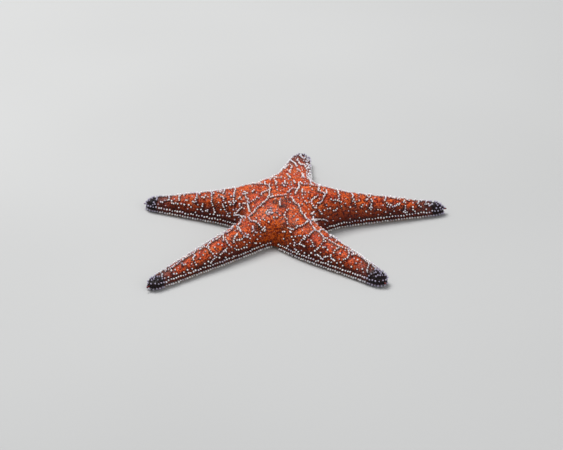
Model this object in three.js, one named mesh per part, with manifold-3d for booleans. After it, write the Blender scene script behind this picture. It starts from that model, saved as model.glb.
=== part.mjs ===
// Ochre sea star, life size, resting on its oral side with five arms spread.
// Units are millimetres, +Z is up, and the flat underside lies at z = 0.
import * as THREE from 'three';
import { mergeVertices } from 'three/addons/utils/BufferGeometryUtils.js';
import Module from 'manifold-3d';

const wasm = await Module();
wasm.setup();

// ---------------------------------------------------------------- driving dimensions

// Arms, counter-clockwise from the right: bearing in degrees, length from the body centre to
// the tip, sideways bow (positive to the arm's left), and scales of its width and height.
const ARMS = [
  { name: 'right_back', bearing: 12.2, length: 112.5, bow: 0.4, wide: 0.89, tall: 0.97 },
  { name: 'back', bearing: 83.2, length: 119.8, bow: -1.2, wide: 1.1, tall: 1.0 },
  { name: 'left_back', bearing: 160.8, length: 98.2, bow: 0.0, wide: 0.92, tall: 0.99 },
  { name: 'left_front', bearing: 231.0, length: 132.8, bow: 4.3, wide: 0.85, tall: 0.82 },
  { name: 'right_front', bearing: 303.4, length: 117.0, bow: -9.8, wide: 0.98, tall: 0.95 },
];

const ARM = {
  tipHalfWidth: 6.0,       // half-width extrapolated to the very tip
  baseHalfWidth: 17.5,     // half-width extrapolated to the body centre
  tipHeight: 7.75,         // crest height extrapolated to the very tip
  heightGain: 24.5,        // rise of the crest line from tip to centre, before it levels off
  crownHeight: 24.5,       // height at which the crest levels off
  crownBlend: 2.5,         // softness of that levelling
  centreDip: 6.0,          // lowering that makes up for the five arms swelling together
  centreDipRadius: 14.0,
  tipRound: 9.0,           // length of the rounded end
  innerRound: 18.0,        // length of the rounded inner end, hidden in the disc
  marginLevel: 3.5,        // level of the widest line above the floor
  underCut: 1.5,           // how far the section would go on below the floor
  tipSquareness: 2.1,      // superellipse exponent of the section at the tip
  baseSquareness: 3.0,     // and at the centre
};

const DOME = { x: 2.0, y: 8.5, radius: 34.0, height: 24.5, squareness: 3.2 };

const BLEND = 3.0;               // softness of the valleys between the arms
const DISC_RADIUS = 40.0;        // where the arms are parted from the disc
const TIP_LENGTH = 15.0;         // dark end of each arm
const GAP = 0.3;                 // clearance between neighbouring pieces

const GROOVE = {
  halfWidth: 3.6, tipHalfWidth: 1.6, depth: 4.8, tipDepth: 2.0, start: 3.0, endMargin: 6.0,
};
const MOUTH = { pitRadius: 8.5, pitDepth: 7.0, opening: 1.7, sill: 1.6 };
const MADREPORITE = { bearing: 252.0, distance: 28.5, radius: 2.0, sunk: 0.9, proud: 0.7 };
const EYESPOT_RADIUS = 0.75;

const RING_UPPER = 17;           // points over the upper side of a section, corners included
const RING_LOWER = 5;            // points between the corners, underneath
const ARM_START = 31.0;          // innermost section, inside the disc's cut
const ARM_STEP = 6.0;            // spacing of the sections
const TIP_STEPS = [0.12, 0.8, 2.2, 4.4, 7.4, 11.5];
const DISC_SECTORS = 60;
const DISC_RINGS = 10;
const REACH = 60.0;              // longest ray cast from a section's middle
const FLATTEST_CORNER = THREE.MathUtils.degToRad(-60);

const COLOURS = {
  skin: { color: 0xb8481c, roughness: 0.5 },
  tip: { color: 0x3a2430, roughness: 0.45 },
  mouth: { color: 0xd9a27c, roughness: 0.5 },
  madreporite: { color: 0xe6dcd2, roughness: 0.6 },
  eyespot: { color: 0x8c1a12, roughness: 0.35 },
};

// ---------------------------------------------------------------- the body's surface

const UP = new THREE.Vector3(0, 0, 1);

/** Unit vectors along and across an arm. */
function armAxes(arm) {
  const angle = THREE.MathUtils.degToRad(arm.bearing);
  const along = new THREE.Vector3(Math.cos(angle), Math.sin(angle), 0);
  return { along, across: new THREE.Vector3(-along.y, along.x, 0) };
}

/** Sideways offset of an arm's middle line at a distance from the centre. */
function bowAt(arm, distance) {
  const part = THREE.MathUtils.clamp(distance / arm.length, 0, 1);
  return arm.bow * 6.75 * part * (1 - part) ** 2;
}

/** A point on an arm's middle line, at the level of its widest line. */
function middlePoint(arm, distance) {
  const { along, across } = armAxes(arm);
  const point = along.clone().multiplyScalar(distance);
  point.addScaledVector(across, bowAt(arm, distance));
  point.z = ARM.marginLevel;
  return point;
}

/** The lower of two values with a soft corner between them. */
function softLower(first, second, softness) {
  return -softness * Math.log(Math.exp(-first / softness) + Math.exp(-second / softness));
}

/** Superellipse coordinate of a height: 1 on the crest, 0 at the margin, rising again below. */
function heightPart(z, top) {
  const margin = ARM.marginLevel;
  return z > margin ? (z - margin) / (top - margin) : (margin - z) / (margin + ARM.underCut);
}

/** Signed measure of one arm at a point: below zero inside it, close to millimetres near it. */
function armField(arm, point) {
  const { along, across } = arm.axes;
  const distance = point.x * along.x + point.y * along.y;
  const side = point.x * across.x + point.y * across.y - bowAt(arm, distance);
  const inward = 1 - THREE.MathUtils.clamp(distance / arm.length, 0, 1);
  const width = arm.wide * THREE.MathUtils.lerp(ARM.tipHalfWidth, ARM.baseHalfWidth, inward);
  const slope = ARM.tipHeight + ARM.heightGain * inward;
  const dip = ARM.centreDip * Math.exp(-((distance / ARM.centreDipRadius) ** 2));
  const height = arm.tall * softLower(slope, ARM.crownHeight, ARM.crownBlend) - dip;
  const roundStart = arm.length - ARM.tipRound;
  const end = distance < 0
    ? -distance / ARM.innerRound
    : Math.max(0, (distance - roundStart) / ARM.tipRound);
  const power = THREE.MathUtils.lerp(ARM.tipSquareness, ARM.baseSquareness, inward);
  const sum = Math.abs(side / width) ** power + heightPart(point.z, height) ** power + end ** 2.2;
  return (sum ** (1 / power) - 1) * Math.min(width, 0.7 * height);
}

/** The same measure of the low dome that fills the webs between the arms. */
function domeField(point) {
  const radial = Math.hypot(point.x - DOME.x, point.y - DOME.y) / DOME.radius;
  const power = DOME.squareness;
  const sum = radial ** power + heightPart(point.z, DOME.height) ** power;
  return (sum ** (1 / power) - 1) * 0.7 * DOME.height;
}

/** The whole body: arms and dome run together with soft valleys. */
function bodyField(point) {
  const values = ARMS.map((arm) => armField(arm, point));
  values.push(domeField(point));
  const lowest = Math.min(...values);
  const sum = values.reduce((total, value) => total + Math.exp((lowest - value) / BLEND), 0);
  return lowest - BLEND * Math.log(sum);
}

/** Distance from a point inside the body to its surface or the floor, along a direction. */
function rayLength(from, direction, longest) {
  let near = 0;
  let far = longest;
  if (direction.z < 0) {
    far = Math.min(far, from.z / -direction.z);
  }
  const point = new THREE.Vector3();
  if (bodyField(point.copy(from).addScaledVector(direction, far)) < 0) {
    return far;
  }
  for (let step = 0; step < 24; step += 1) {
    const middle = (near + far) / 2;
    if (bodyField(point.copy(from).addScaledVector(direction, middle)) < 0) {
      near = middle;
    } else {
      far = middle;
    }
  }
  return near;
}

/** Distance along a level direction at which an arm's section meets the line to its neighbour. */
function sectorLength(arm, from, direction) {
  const index = ARMS.indexOf(arm);
  let shortest = REACH;
  for (const turn of [1, -1]) {
    const other = ARMS[(index + turn + ARMS.length) % ARMS.length];
    const between = other.axes.along.clone().add(arm.axes.along).normalize();
    const outward = new THREE.Vector3(-between.y, between.x, 0).multiplyScalar(turn);
    const speed = direction.dot(outward);
    if (speed > 1e-6) {
      shortest = Math.min(shortest, (1.5 - from.dot(outward)) / speed);
    }
  }
  return shortest;
}

// ---------------------------------------------------------------- solids

/** Moves the vertices of a closed tube of rings to the points given by a function. */
function ringSolid(sides, rings, place) {
  const geometry = new THREE.CylinderGeometry(1, 1, 1, sides, rings - 1);
  const position = geometry.attributes.position;
  const columns = sides + 1;
  const wall = columns * rings;
  const point = new THREE.Vector3();
  for (let index = 0; index < position.count; index += 1) {
    if (index < wall) {
      place(point, index % columns % sides, Math.floor(index / columns));
    } else {
      placeCap(point, position, index, sides, rings, place);
    }
    position.setXYZ(index, point.x, point.y, point.z);
  }
  return geometry;
}

/** Places a vertex of an end cap: on the end ring, or in the middle of it. */
function placeCap(point, position, index, sides, rings, place) {
  const ring = position.getY(index) > 0 ? 0 : rings - 1;
  const x = position.getX(index);
  const z = position.getZ(index);
  if (Math.hypot(x, z) < 0.5) {
    const sum = new THREE.Vector3();
    for (let side = 0; side < sides; side += 1) {
      place(point, side, ring);
      sum.add(point);
    }
    point.copy(sum).divideScalar(sides);
    return;
  }
  const turn = (Math.atan2(x, z) / (2 * Math.PI) + 1) % 1;
  place(point, Math.round(turn * sides) % sides, ring);
}

/** A three.js geometry as a manifold solid. */
function toSolid(geometry) {
  const bare = geometry.clone();
  bare.deleteAttribute('normal');
  bare.deleteAttribute('uv');
  const merged = mergeVertices(bare, 1e-4);
  const mesh = new wasm.Mesh({
    numProp: 3,
    vertProperties: new Float32Array(merged.attributes.position.array),
    triVerts: new Uint32Array(merged.index.array),
  });
  return new wasm.Manifold(mesh);
}

/** A manifold solid as a three.js geometry. */
function toGeometry(solid) {
  const mesh = solid.getMesh();
  const geometry = new THREE.BufferGeometry();
  geometry.setAttribute('position', new THREE.BufferAttribute(mesh.vertProperties, 3));
  geometry.setIndex(new THREE.BufferAttribute(mesh.triVerts, 1));
  geometry.computeVertexNormals();
  return geometry;
}

/** Distances of an arm's sections from the centre, the tip last. */
function armStations(arm) {
  const tip = TIP_STEPS.map((step) => arm.length - step).reverse();
  const count = Math.round((tip[0] - ARM_START) / ARM_STEP);
  const even = Array.from({ length: count }, (_, index) => (
    THREE.MathUtils.lerp(ARM_START, tip[0], index / count)));
  return [...even, ...tip];
}

/** Angle below the level line at which an arm's section meets the floor on one side. */
function cornerAngle(from, direction) {
  const onFloor = new THREE.Vector3(from.x, from.y, 0);
  if (bodyField(onFloor) >= 0) {
    return FLATTEST_CORNER;
  }
  const width = rayLength(onFloor, direction, REACH);
  return Math.max(FLATTEST_CORNER, Math.atan2(-from.z, width));
}

/** One arm from inside the disc to its tip, flat underneath. */
function armSolid(arm) {
  const stations = armStations(arm);
  const across = arm.axes.across;
  const opposite = across.clone().negate();
  const rings = stations.map((distance) => {
    const from = middlePoint(arm, distance);
    const left = cornerAngle(from, across);
    const right = Math.PI - cornerAngle(from, opposite);
    const points = [];
    for (let index = 0; index < RING_UPPER + RING_LOWER; index += 1) {
      const angle = index < RING_UPPER
        ? THREE.MathUtils.lerp(left, right, index / (RING_UPPER - 1))
        : THREE.MathUtils.lerp(
          right, left + 2 * Math.PI, (index - RING_UPPER + 1) / (RING_LOWER + 1));
      const direction = across.clone().multiplyScalar(Math.cos(angle));
      direction.addScaledVector(UP, Math.sin(angle));
      const longest = sectorLength(arm, from, direction);
      points.push(from.clone().addScaledVector(direction, rayLength(from, direction, longest)));
    }
    return points;
  });
  const sides = RING_UPPER + RING_LOWER;
  return toSolid(ringSolid(sides, stations.length, (point, side, ring) => {
    point.copy(rings[rings.length - 1 - ring][side]);
  }));
}

/** The disc and the roots of the arms, before they are parted, flat underneath. */
function crownSolid() {
  const from = new THREE.Vector3(0, 0, ARM.marginLevel);
  const floor = new THREE.Vector3(0, 0, 0);
  const longest = DISC_RADIUS + 6;
  return toSolid(ringSolid(DISC_SECTORS, DISC_RINGS, (point, side, ring) => {
    const turn = (side / DISC_SECTORS) * 2 * Math.PI;
    const outward = new THREE.Vector3(Math.cos(turn), Math.sin(turn), 0);
    const foot = rayLength(floor, outward, longest);
    if (ring === DISC_RINGS - 1) {
      point.copy(outward).multiplyScalar(foot);
      return;
    }
    const part = 1 - (ring + 0.25) / (DISC_RINGS - 0.75);
    const lowest = Math.atan2(-from.z, foot);
    const rise = THREE.MathUtils.lerp(lowest, Math.PI / 2, part ** 1.25);
    const direction = outward.clone().multiplyScalar(Math.cos(rise));
    direction.addScaledVector(UP, Math.sin(rise));
    point.copy(from).addScaledVector(direction, rayLength(from, direction, longest));
  }));
}

/** An upright cylinder round the body centre. */
function pillar(radius) {
  const geometry = new THREE.CylinderGeometry(radius, radius, 120, DISC_SECTORS);
  geometry.rotateX(Math.PI / 2);
  return toSolid(geometry);
}

/** A slab across an arm, from one distance outwards. */
function outerSlab(arm, distance) {
  const geometry = new THREE.BoxGeometry(200, 200, 200);
  geometry.translate(100 + distance, 0, 0);
  geometry.rotateZ(THREE.MathUtils.degToRad(arm.bearing));
  return toSolid(geometry);
}

/** The channel for the tube feet under an arm. */
function grooveSolid(arm) {
  const sides = 10;
  const end = arm.length - GROOVE.endMargin;
  const rings = 13;
  return toSolid(ringSolid(sides, rings, (point, side, ring) => {
    const part = 1 - ring / (rings - 1);
    const distance = THREE.MathUtils.lerp(GROOVE.start, end, part);
    const angle = (side / sides) * 2 * Math.PI;
    const width = THREE.MathUtils.lerp(GROOVE.halfWidth, GROOVE.tipHalfWidth, part);
    const depth = THREE.MathUtils.lerp(GROOVE.depth, GROOVE.tipDepth, part);
    point.copy(middlePoint(arm, distance));
    point.addScaledVector(arm.axes.across, Math.cos(angle) * width);
    point.z = Math.sin(angle) * depth;
  }));
}

/** A turned solid from its profile of [radius, height] pairs. */
function turned(profile, sides) {
  const geometry = new THREE.LatheGeometry(profile.map(([r, z]) => new THREE.Vector2(r, z)), sides);
  geometry.rotateX(Math.PI / 2);
  return geometry;
}

/** The hollow round the mouth. */
function mouthPit() {
  const { pitRadius, pitDepth } = MOUTH;
  const profile = [[0, -2], [pitRadius, -2], [pitRadius, 0]];
  for (let step = 1; step < 6; step += 1) {
    const angle = (step / 6) * (Math.PI / 2);
    profile.push([pitRadius * Math.cos(angle), pitDepth * Math.sin(angle)]);
  }
  profile.push([0, pitDepth]);
  return toSolid(turned(profile, 24));
}

/** The soft lip round the mouth, set up inside the hollow. */
function mouthGeometry() {
  const { pitRadius, pitDepth, opening, sill } = MOUTH;
  const profile = [[0, pitDepth - 2.2], [opening, pitDepth - 2.6], [opening * 1.3, sill + 1.2]];
  profile.push([opening * 1.9, sill + 0.4], [pitRadius * 0.62, sill + 1.0]);
  for (let step = 2; step < 6; step += 1) {
    const angle = (step / 6) * (Math.PI / 2);
    const radius = (pitRadius - 2 * GAP) * Math.cos(angle);
    profile.push([radius, (pitDepth - 2 * GAP) * Math.sin(angle)]);
  }
  profile.push([0, pitDepth - 2 * GAP]);
  return turned(profile, 24);
}

/** Outward direction of the body's surface at a point. */
function surfaceNormal(point) {
  const step = 0.05;
  const slope = ['x', 'y', 'z'].map((axis) => {
    const ahead = point.clone();
    const behind = point.clone();
    ahead[axis] += step;
    behind[axis] -= step;
    return bodyField(ahead) - bodyField(behind);
  });
  return new THREE.Vector3(...slope).normalize();
}

/** Turns a solid that stands on the origin to stand on the body's surface at a point. */
function standOn(geometry, point) {
  const turn = new THREE.Quaternion().setFromUnitVectors(UP, surfaceNormal(point));
  geometry.applyQuaternion(turn);
  geometry.translate(point.x, point.y, point.z);
  return geometry;
}

/** Place of the sieve plate on the front of the disc. */
function madreporitePlace() {
  const angle = THREE.MathUtils.degToRad(MADREPORITE.bearing);
  const from = new THREE.Vector3(Math.cos(angle), Math.sin(angle), 0);
  from.multiplyScalar(MADREPORITE.distance).setZ(ARM.marginLevel);
  return from.addScaledVector(UP, rayLength(from, UP, REACH));
}

/** The sieve plate, a low button, or with a margin the pocket that it sits in. */
function madreporiteGeometry(margin) {
  const radius = MADREPORITE.radius + margin;
  const low = -MADREPORITE.sunk - margin;
  const high = MADREPORITE.proud + margin * 4;
  const profile = [[0, low], [radius * 0.9, low], [radius, 0], [radius, high * 0.5]];
  profile.push([radius * 0.72, high * 0.9], [0, high]);
  return standOn(turned(profile, 14), madreporitePlace());
}

/** The eyespot at an arm's tip, or with a margin the pocket that it sits in. */
function eyespotGeometry(arm, margin) {
  const geometry = new THREE.SphereGeometry(EYESPOT_RADIUS + margin, 8, 6);
  const place = middlePoint(arm, arm.length - EYESPOT_RADIUS * 0.6);
  geometry.translate(place.x, place.y, place.z);
  return geometry;
}

// ---------------------------------------------------------------- assembly

const group = new THREE.Group();

/** Adds one named piece to the model. */
function addPiece(name, geometry, finish) {
  const mesh = new THREE.Mesh(geometry, new THREE.MeshStandardMaterial({ ...finish, metalness: 0 }));
  mesh.name = name;
  group.add(mesh);
}

for (const arm of ARMS) {
  arm.axes = armAxes(arm);
}

const grooves = ARMS.map(grooveSolid);

let disc = crownSolid().intersect(pillar(DISC_RADIUS));
disc = disc.subtract(mouthPit()).subtract(toSolid(madreporiteGeometry(GAP)));
for (const groove of grooves) {
  disc = disc.subtract(groove);
}
addPiece('disc', toGeometry(disc), COLOURS.skin);

ARMS.forEach((arm, index) => {
  const pocket = toSolid(eyespotGeometry(arm, GAP));
  const whole = armSolid(arm).subtract(pillar(DISC_RADIUS + GAP)).subtract(grooves[index]);
  const cut = arm.length - TIP_LENGTH;
  const inner = whole.subtract(outerSlab(arm, cut - GAP / 2));
  const outer = whole.intersect(outerSlab(arm, cut + GAP / 2)).subtract(pocket);
  addPiece(`arm_${arm.name}`, toGeometry(inner), COLOURS.skin);
  addPiece(`arm_tip_${arm.name}`, toGeometry(outer), COLOURS.tip);
  addPiece(`eyespot_${arm.name}`, eyespotGeometry(arm, 0), COLOURS.eyespot);
});

addPiece('madreporite', madreporiteGeometry(0), COLOURS.madreporite);
addPiece('mouth', mouthGeometry(), COLOURS.mouth);

// The origin lies on the floor under the middle of the whole outline.
const outline = new THREE.Box3().setFromObject(group);
const middle = outline.getCenter(new THREE.Vector3());
group.position.set(-middle.x, -middle.y, 0);

export default group;
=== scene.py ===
"""Ochre sea star, life size, at rest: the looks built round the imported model.

Lengths in this script are millimetres in the body frame, whose origin lies on the floor under
the middle of the disc, with +Z up. Meshes are turned to metres in the row frame as they are made.
"""
import logging
import math
from collections.abc import Callable, Iterable
from dataclasses import dataclass, field
from enum import Enum

import bmesh
import bpy
import numpy as np
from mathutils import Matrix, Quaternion, Vector, noise
from mathutils.kdtree import KDTree

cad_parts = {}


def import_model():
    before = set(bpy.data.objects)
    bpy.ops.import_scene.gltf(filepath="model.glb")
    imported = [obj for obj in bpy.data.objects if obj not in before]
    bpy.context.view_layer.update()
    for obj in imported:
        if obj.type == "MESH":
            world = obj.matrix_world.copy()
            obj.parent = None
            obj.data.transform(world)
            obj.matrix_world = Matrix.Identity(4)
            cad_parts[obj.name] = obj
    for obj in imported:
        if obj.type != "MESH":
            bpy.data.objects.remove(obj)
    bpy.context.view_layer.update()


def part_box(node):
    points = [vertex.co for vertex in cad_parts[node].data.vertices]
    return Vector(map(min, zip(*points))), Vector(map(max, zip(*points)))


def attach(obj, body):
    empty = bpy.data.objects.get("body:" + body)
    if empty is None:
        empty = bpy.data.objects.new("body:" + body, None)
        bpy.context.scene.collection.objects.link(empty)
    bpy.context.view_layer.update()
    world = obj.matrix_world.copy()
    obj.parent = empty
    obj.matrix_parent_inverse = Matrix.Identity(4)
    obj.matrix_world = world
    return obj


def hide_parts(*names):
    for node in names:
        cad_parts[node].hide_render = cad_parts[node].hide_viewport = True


LOG = logging.getLogger("sea_star")
METRES = 0.001
MAP_NAME = "OFBake"
UP = np.array([0.0, 0.0, 1.0])
DOWN = -UP
Array = np.ndarray
Mesh = bpy.types.Mesh
Material = bpy.types.Material
Socket = bpy.types.NodeSocket
Path = tuple[tuple[float, float], ...]
Measure = Callable[[Array], Array]


# ---- the body's form


@dataclass(frozen=True)
class Arm:
    """One arm: bearing in degrees, length, sideways bow, scales of width and height, and fade.

    The fade is the length from the tip over which the orange turns brown.
    """

    name: str
    bearing: float
    length: float
    bow: float
    wide: float
    tall: float
    fade: float = 30.0

    @property
    def along(self) -> Array:
        """Unit vector from the body centre towards the tip."""
        turn = math.radians(self.bearing)
        return np.array([math.cos(turn), math.sin(turn), 0.0])

    @property
    def across(self) -> Array:
        """Unit vector to the arm's left."""
        return np.array([-self.along[1], self.along[0], 0.0])

    def bow_at(self, distance: Array) -> Array:
        """Sideways offset of the middle line at distances from the centre."""
        part = np.clip(distance / self.length, 0, 1)
        return self.bow * 6.75 * part * (1 - part) ** 2

    def local(self, points: Array) -> tuple[Array, Array]:
        """Distance along the arm and offset to the left of its middle line.

        Args:
            points: Places in the body frame, one per row.

        Returns:
            The distances from the centre and the sideways offsets.
        """
        distance = points @ self.along
        return distance, points @ self.across - self.bow_at(distance)

    def middle(self, distance: Array, level: float) -> Array:
        """Points on the middle line at a level above the floor.

        Args:
            distance: Distances from the body centre.
            level: Height above the floor.

        Returns:
            One place per distance.
        """
        distance = np.atleast_1d(np.asarray(distance, float))
        places = distance[:, None] * self.along + self.bow_at(distance)[:, None] * self.across
        places[:, 2] = level
        return places


ARMS = (
    Arm("right_back", 12.2, 112.5, 0.4, 0.89, 0.97),
    Arm("back", 83.2, 119.8, -1.2, 1.1, 1.0, fade=75.0),
    Arm("left_back", 160.8, 98.2, 0.0, 0.92, 0.99),
    Arm("left_front", 231.0, 132.8, 4.3, 0.85, 0.82),
    Arm("right_front", 303.4, 117.0, -9.8, 0.98, 0.95),
)
DISC = len(ARMS)


@dataclass(frozen=True)
class Section:
    """Sizes of an arm's section, alike in all arms before their own scales."""

    tip_half_width: float = 6.0
    base_half_width: float = 17.5
    tip_height: float = 7.75
    height_gain: float = 24.5
    crown_height: float = 24.5
    crown_blend: float = 2.5
    centre_dip: float = 6.0
    centre_dip_radius: float = 14.0
    tip_round: float = 9.0
    inner_round: float = 18.0
    margin_level: float = 3.5
    under_cut: float = 1.5
    tip_squareness: float = 2.1
    base_squareness: float = 3.0


@dataclass(frozen=True)
class Dome:
    """The low dome that fills the webs between the arms."""

    x: float = 2.0
    y: float = 8.5
    radius: float = 34.0
    height: float = 24.5
    squareness: float = 3.2


@dataclass(frozen=True)
class Underside:
    """The feeding grooves, the hollow round the mouth, and the level of the oral skin."""

    level: float = 1.0
    groove_half_width: float = 3.4
    groove_tip_half_width: float = 1.6
    groove_depth: float = 4.6
    groove_tip_depth: float = 2.2
    groove_end: float = 5.0
    pit_radius: float = 8.2
    pit_depth: float = 6.8
    rounding: float = 0.5

    def half_width(self, part: Array) -> Array:
        """Half the width of a groove at parts of its length."""
        return self.groove_half_width * (1 - part) + self.groove_tip_half_width * part


@dataclass(frozen=True)
class View:
    """The camera: its rise and distance, the frame, and where the body's centre falls in it."""

    elevation: float = 23.0
    distance: float = 1500.0
    pixel: float = 0.66
    width: int = 563
    height: int = 450
    centre_column: float = 282.0
    centre_row: float = 227.2

    @property
    def back(self) -> Array:
        """Unit vector from the body towards the camera."""
        rise = math.radians(self.elevation)
        return np.array([0.0, -math.cos(rise), math.sin(rise)])

    @property
    def up(self) -> Array:
        """Unit vector up the frame."""
        rise = math.radians(self.elevation)
        return np.array([0.0, math.sin(rise), math.cos(rise)])

    @property
    def place(self) -> Array:
        """Where the camera stands."""
        right = (self.width / 2 - self.centre_column) * self.pixel
        up = (self.centre_row - self.height / 2) * self.pixel
        return self.back * self.distance + np.array([right, 0.0, 0.0]) + self.up * up

    def rays(self, path: Array) -> Array:
        """Directions from the camera through (column, row) pairs of its frame.

        Args:
            path: The pairs.

        Returns:
            One direction per pair, a unit long along the view.
        """
        right = (path[:, 0] - self.width / 2) * self.pixel / self.distance
        up = (self.height / 2 - path[:, 1]) * self.pixel / self.distance
        return right[:, None] * np.array([1.0, 0.0, 0.0]) + up[:, None] * self.up - self.back


def softest(values: Array, blend: float) -> Array:
    """The lowest value in each column, with soft corners where two are alike."""
    lowest = values.min(axis=0)
    return lowest - blend * np.log(np.exp((lowest - values) / blend).sum(axis=0))


class BodyForm:
    """The body as a measure of space: below zero inside, near millimetres close to the skin."""

    def __init__(self) -> None:
        """Takes the default sizes of the section, the dome and the underside."""
        self.section = Section()
        self.dome = Dome()
        self.under = Underside()
        self.blend = 3.0
        self.coat = 1.4

    def crest_height(self, arm: Arm, distance: Array) -> Array:
        """Height of an arm's crest at distances from the body centre.

        Args:
            arm: The arm.
            distance: The distances.

        Returns:
            The heights.
        """
        size = self.section
        inward = 1 - np.clip(distance / arm.length, 0, 1)
        slope = size.tip_height + size.height_gain * inward
        pair = np.stack([slope, np.full_like(slope, size.crown_height)])
        dip = size.centre_dip * np.exp(-((distance / size.centre_dip_radius) ** 2))
        return arm.tall * softest(pair, size.crown_blend) - dip

    def _height_part(self, z: Array, top: Array | float) -> Array:
        """Superellipse coordinate of a height: 1 on the crest, 0 on the margin.

        Args:
            z: The heights.
            top: Heights of the crest.

        Returns:
            The coordinates.
        """
        margin = self.section.margin_level
        above = (z - margin) / (top - margin)
        below = (margin - z) / (margin + self.section.under_cut)
        return np.where(z > margin, above, below)

    def _arm(self, arm: Arm, points: Array) -> Array:
        """Measure of one arm at the points.

        Args:
            arm: The arm.
            points: Places in the body frame, one per row.

        Returns:
            One value per place.
        """
        size = self.section
        distance, side = arm.local(points)
        inward = 1 - np.clip(distance / arm.length, 0, 1)
        width = size.tip_half_width + (size.base_half_width - size.tip_half_width) * inward
        width = width * arm.wide
        height = self.crest_height(arm, distance)
        past = (distance - arm.length + size.tip_round) / size.tip_round
        end = np.where(distance < 0, -distance / size.inner_round, np.maximum(0, past))
        power = size.tip_squareness + (size.base_squareness - size.tip_squareness) * inward
        total = np.abs(side / width) ** power
        total += np.abs(self._height_part(points[:, 2], height)) ** power + end**2.2
        return (total ** (1 / power) - 1) * np.minimum(width, 0.7 * height)

    def flesh(self, points: Array) -> Array:
        """Measure of the whole body out to the tips of its spines.

        Args:
            points: Places in the body frame, one per row.

        Returns:
            One value per place.
        """
        dome = self.dome
        radial = np.hypot(points[:, 0] - dome.x, points[:, 1] - dome.y) / dome.radius
        rise = np.abs(self._height_part(points[:, 2], dome.height))
        total = radial**dome.squareness + rise**dome.squareness
        low = (total ** (1 / dome.squareness) - 1) * 0.7 * dome.height
        return softest(np.stack([self._arm(arm, points) for arm in ARMS] + [low]), self.blend)

    def groove(self, arm: Arm, points: Array) -> Array:
        """Measure of the channel under an arm: below zero inside the channel.

        Args:
            arm: The arm.
            points: Places in the body frame, one per row.

        Returns:
            One value per place.
        """
        under = self.under
        distance, side = arm.local(points)
        last = arm.length - under.groove_end
        part = np.clip(distance / last, 0, 1)
        width = under.half_width(part)
        depth = under.groove_depth * (1 - part) + under.groove_tip_depth * part
        closing = np.maximum(0, (distance - last + 5) / 5) + np.maximum(0, -distance / 5)
        total = (side / width) ** 2 + (points[:, 2] / depth) ** 2 + closing**2
        return (np.sqrt(total) - 1) * np.minimum(width, depth)

    def skin(self, points: Array) -> Array:
        """Measure of the bare skin, with its grooves, mouth hollow and flat underside.

        Args:
            points: Places in the body frame, one per row.

        Returns:
            One value per place.
        """
        under = self.under
        radial = np.hypot(points[:, 0], points[:, 1]) / under.pit_radius
        pit = (np.hypot(radial, points[:, 2] / under.pit_depth) - 1) * under.pit_depth
        hollows = [-pit] + [-self.groove(arm, points) for arm in ARMS]
        parts = [self.flesh(points) + self.coat, under.level - points[:, 2]] + hollows
        return -softest(-np.stack(parts), under.rounding)

    def hollow(self, points: Array) -> Array:
        """The skin's measure turned round: below zero outside the body."""
        return -self.skin(points)

    def slope(self, points: Array, measure: Measure) -> Array:
        """Gradient of a measure by central differences.

        Args:
            points: Places in the body frame, one per row.
            measure: The measure.

        Returns:
            One gradient per place.
        """
        step = 0.05
        rows = []
        for axis in np.eye(3) * step:
            rows.append((measure(points + axis) - measure(points - axis)) / (2 * step))
        return np.stack(rows, axis=1)

    def outward(self, points: Array, measure: Measure) -> Array:
        """Unit vectors out of the body at the points."""
        return units(self.slope(points, measure))

    def settle(self, points: Array, measure: Measure, rounds: int = 6) -> Array:
        """Points moved down the slope of a measure onto its zero surface.

        Args:
            points: Places near the surface.
            measure: The measure whose surface they settle on.
            rounds: How many steps are taken.

        Returns:
            The settled places.
        """
        longest_step = 0.9
        for _ in range(rounds):
            slope = self.slope(points, measure)
            steep = np.maximum((slope**2).sum(axis=1), 0.05)
            move = -(measure(points) / steep)[:, None] * slope
            length = np.linalg.norm(move, axis=1, keepdims=True)
            points = points + move * np.minimum(1, longest_step / np.maximum(length, 1e-9))
        return points

    def cast(
        self, origins: Array, ways: Array, measure: Measure, reach: float
    ) -> Array:
        """Where rays from inside the body leave it.

        Args:
            origins: Places inside the body.
            ways: Unit directions.
            measure: The measure whose surface ends the rays.
            reach: Longest ray.

        Returns:
            The ends of the rays.
        """
        near = np.zeros(len(origins))
        far = np.full(len(origins), reach)
        for _ in range(20):
            half = (near + far) / 2
            inside = measure(origins + ways * half[:, None]) < 0
            near = np.where(inside, half, near)
            far = np.where(inside, far, half)
        return origins + ways * near[:, None]

    def on_arm(self, arm: Arm, path: Array) -> Array:
        """Skin places from (distance, angle) pairs on an arm.

        Args:
            arm: The arm.
            path: Distances from the centre, and degrees round the section from its crest,
                positive to the left.

        Returns:
            One place on the skin per pair.
        """
        turn = np.radians(path[:, 1])
        origins = arm.middle(path[:, 0], self.section.margin_level)
        ways = np.sin(turn)[:, None] * arm.across + np.cos(turn)[:, None] * UP
        return self.cast(origins, ways, self.skin, 45.0)

    def seen(self, view: View, path: Array, lift: float) -> Array:
        """Skin places under what the camera sees at (column, row) pairs.

        Args:
            view: The camera.
            path: The pairs.
            lift: How far above the skin the things seen lie.

        Returns:
            One place on the skin per pair; a ray that misses takes the skin next to it.
        """
        levels = np.arange(40.0, 0.0, -0.5)
        rays = view.rays(path)
        depth = (levels - view.place[2]) / rays[:, 2:3]
        places = view.place + depth[:, :, None] * rays[:, None, :]
        gap = self.skin(places.reshape(-1, 3)).reshape(depth.shape) - lift
        met = (gap < 0).any(axis=1)
        first = np.where(met, (gap < 0).argmax(axis=1), gap.argmin(axis=1))
        index = np.arange(len(path))
        inside = places[index, first]
        outside = np.where(met[:, None], places[index, np.maximum(first - 1, 0)], inside)
        for _ in range(8):
            half = (inside + outside) / 2
            within = (self.skin(half) < lift)[:, None]
            inside = np.where(within, half, inside)
            outside = np.where(within, outside, half)
        return self.settle(inside, self.skin, 8)

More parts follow.
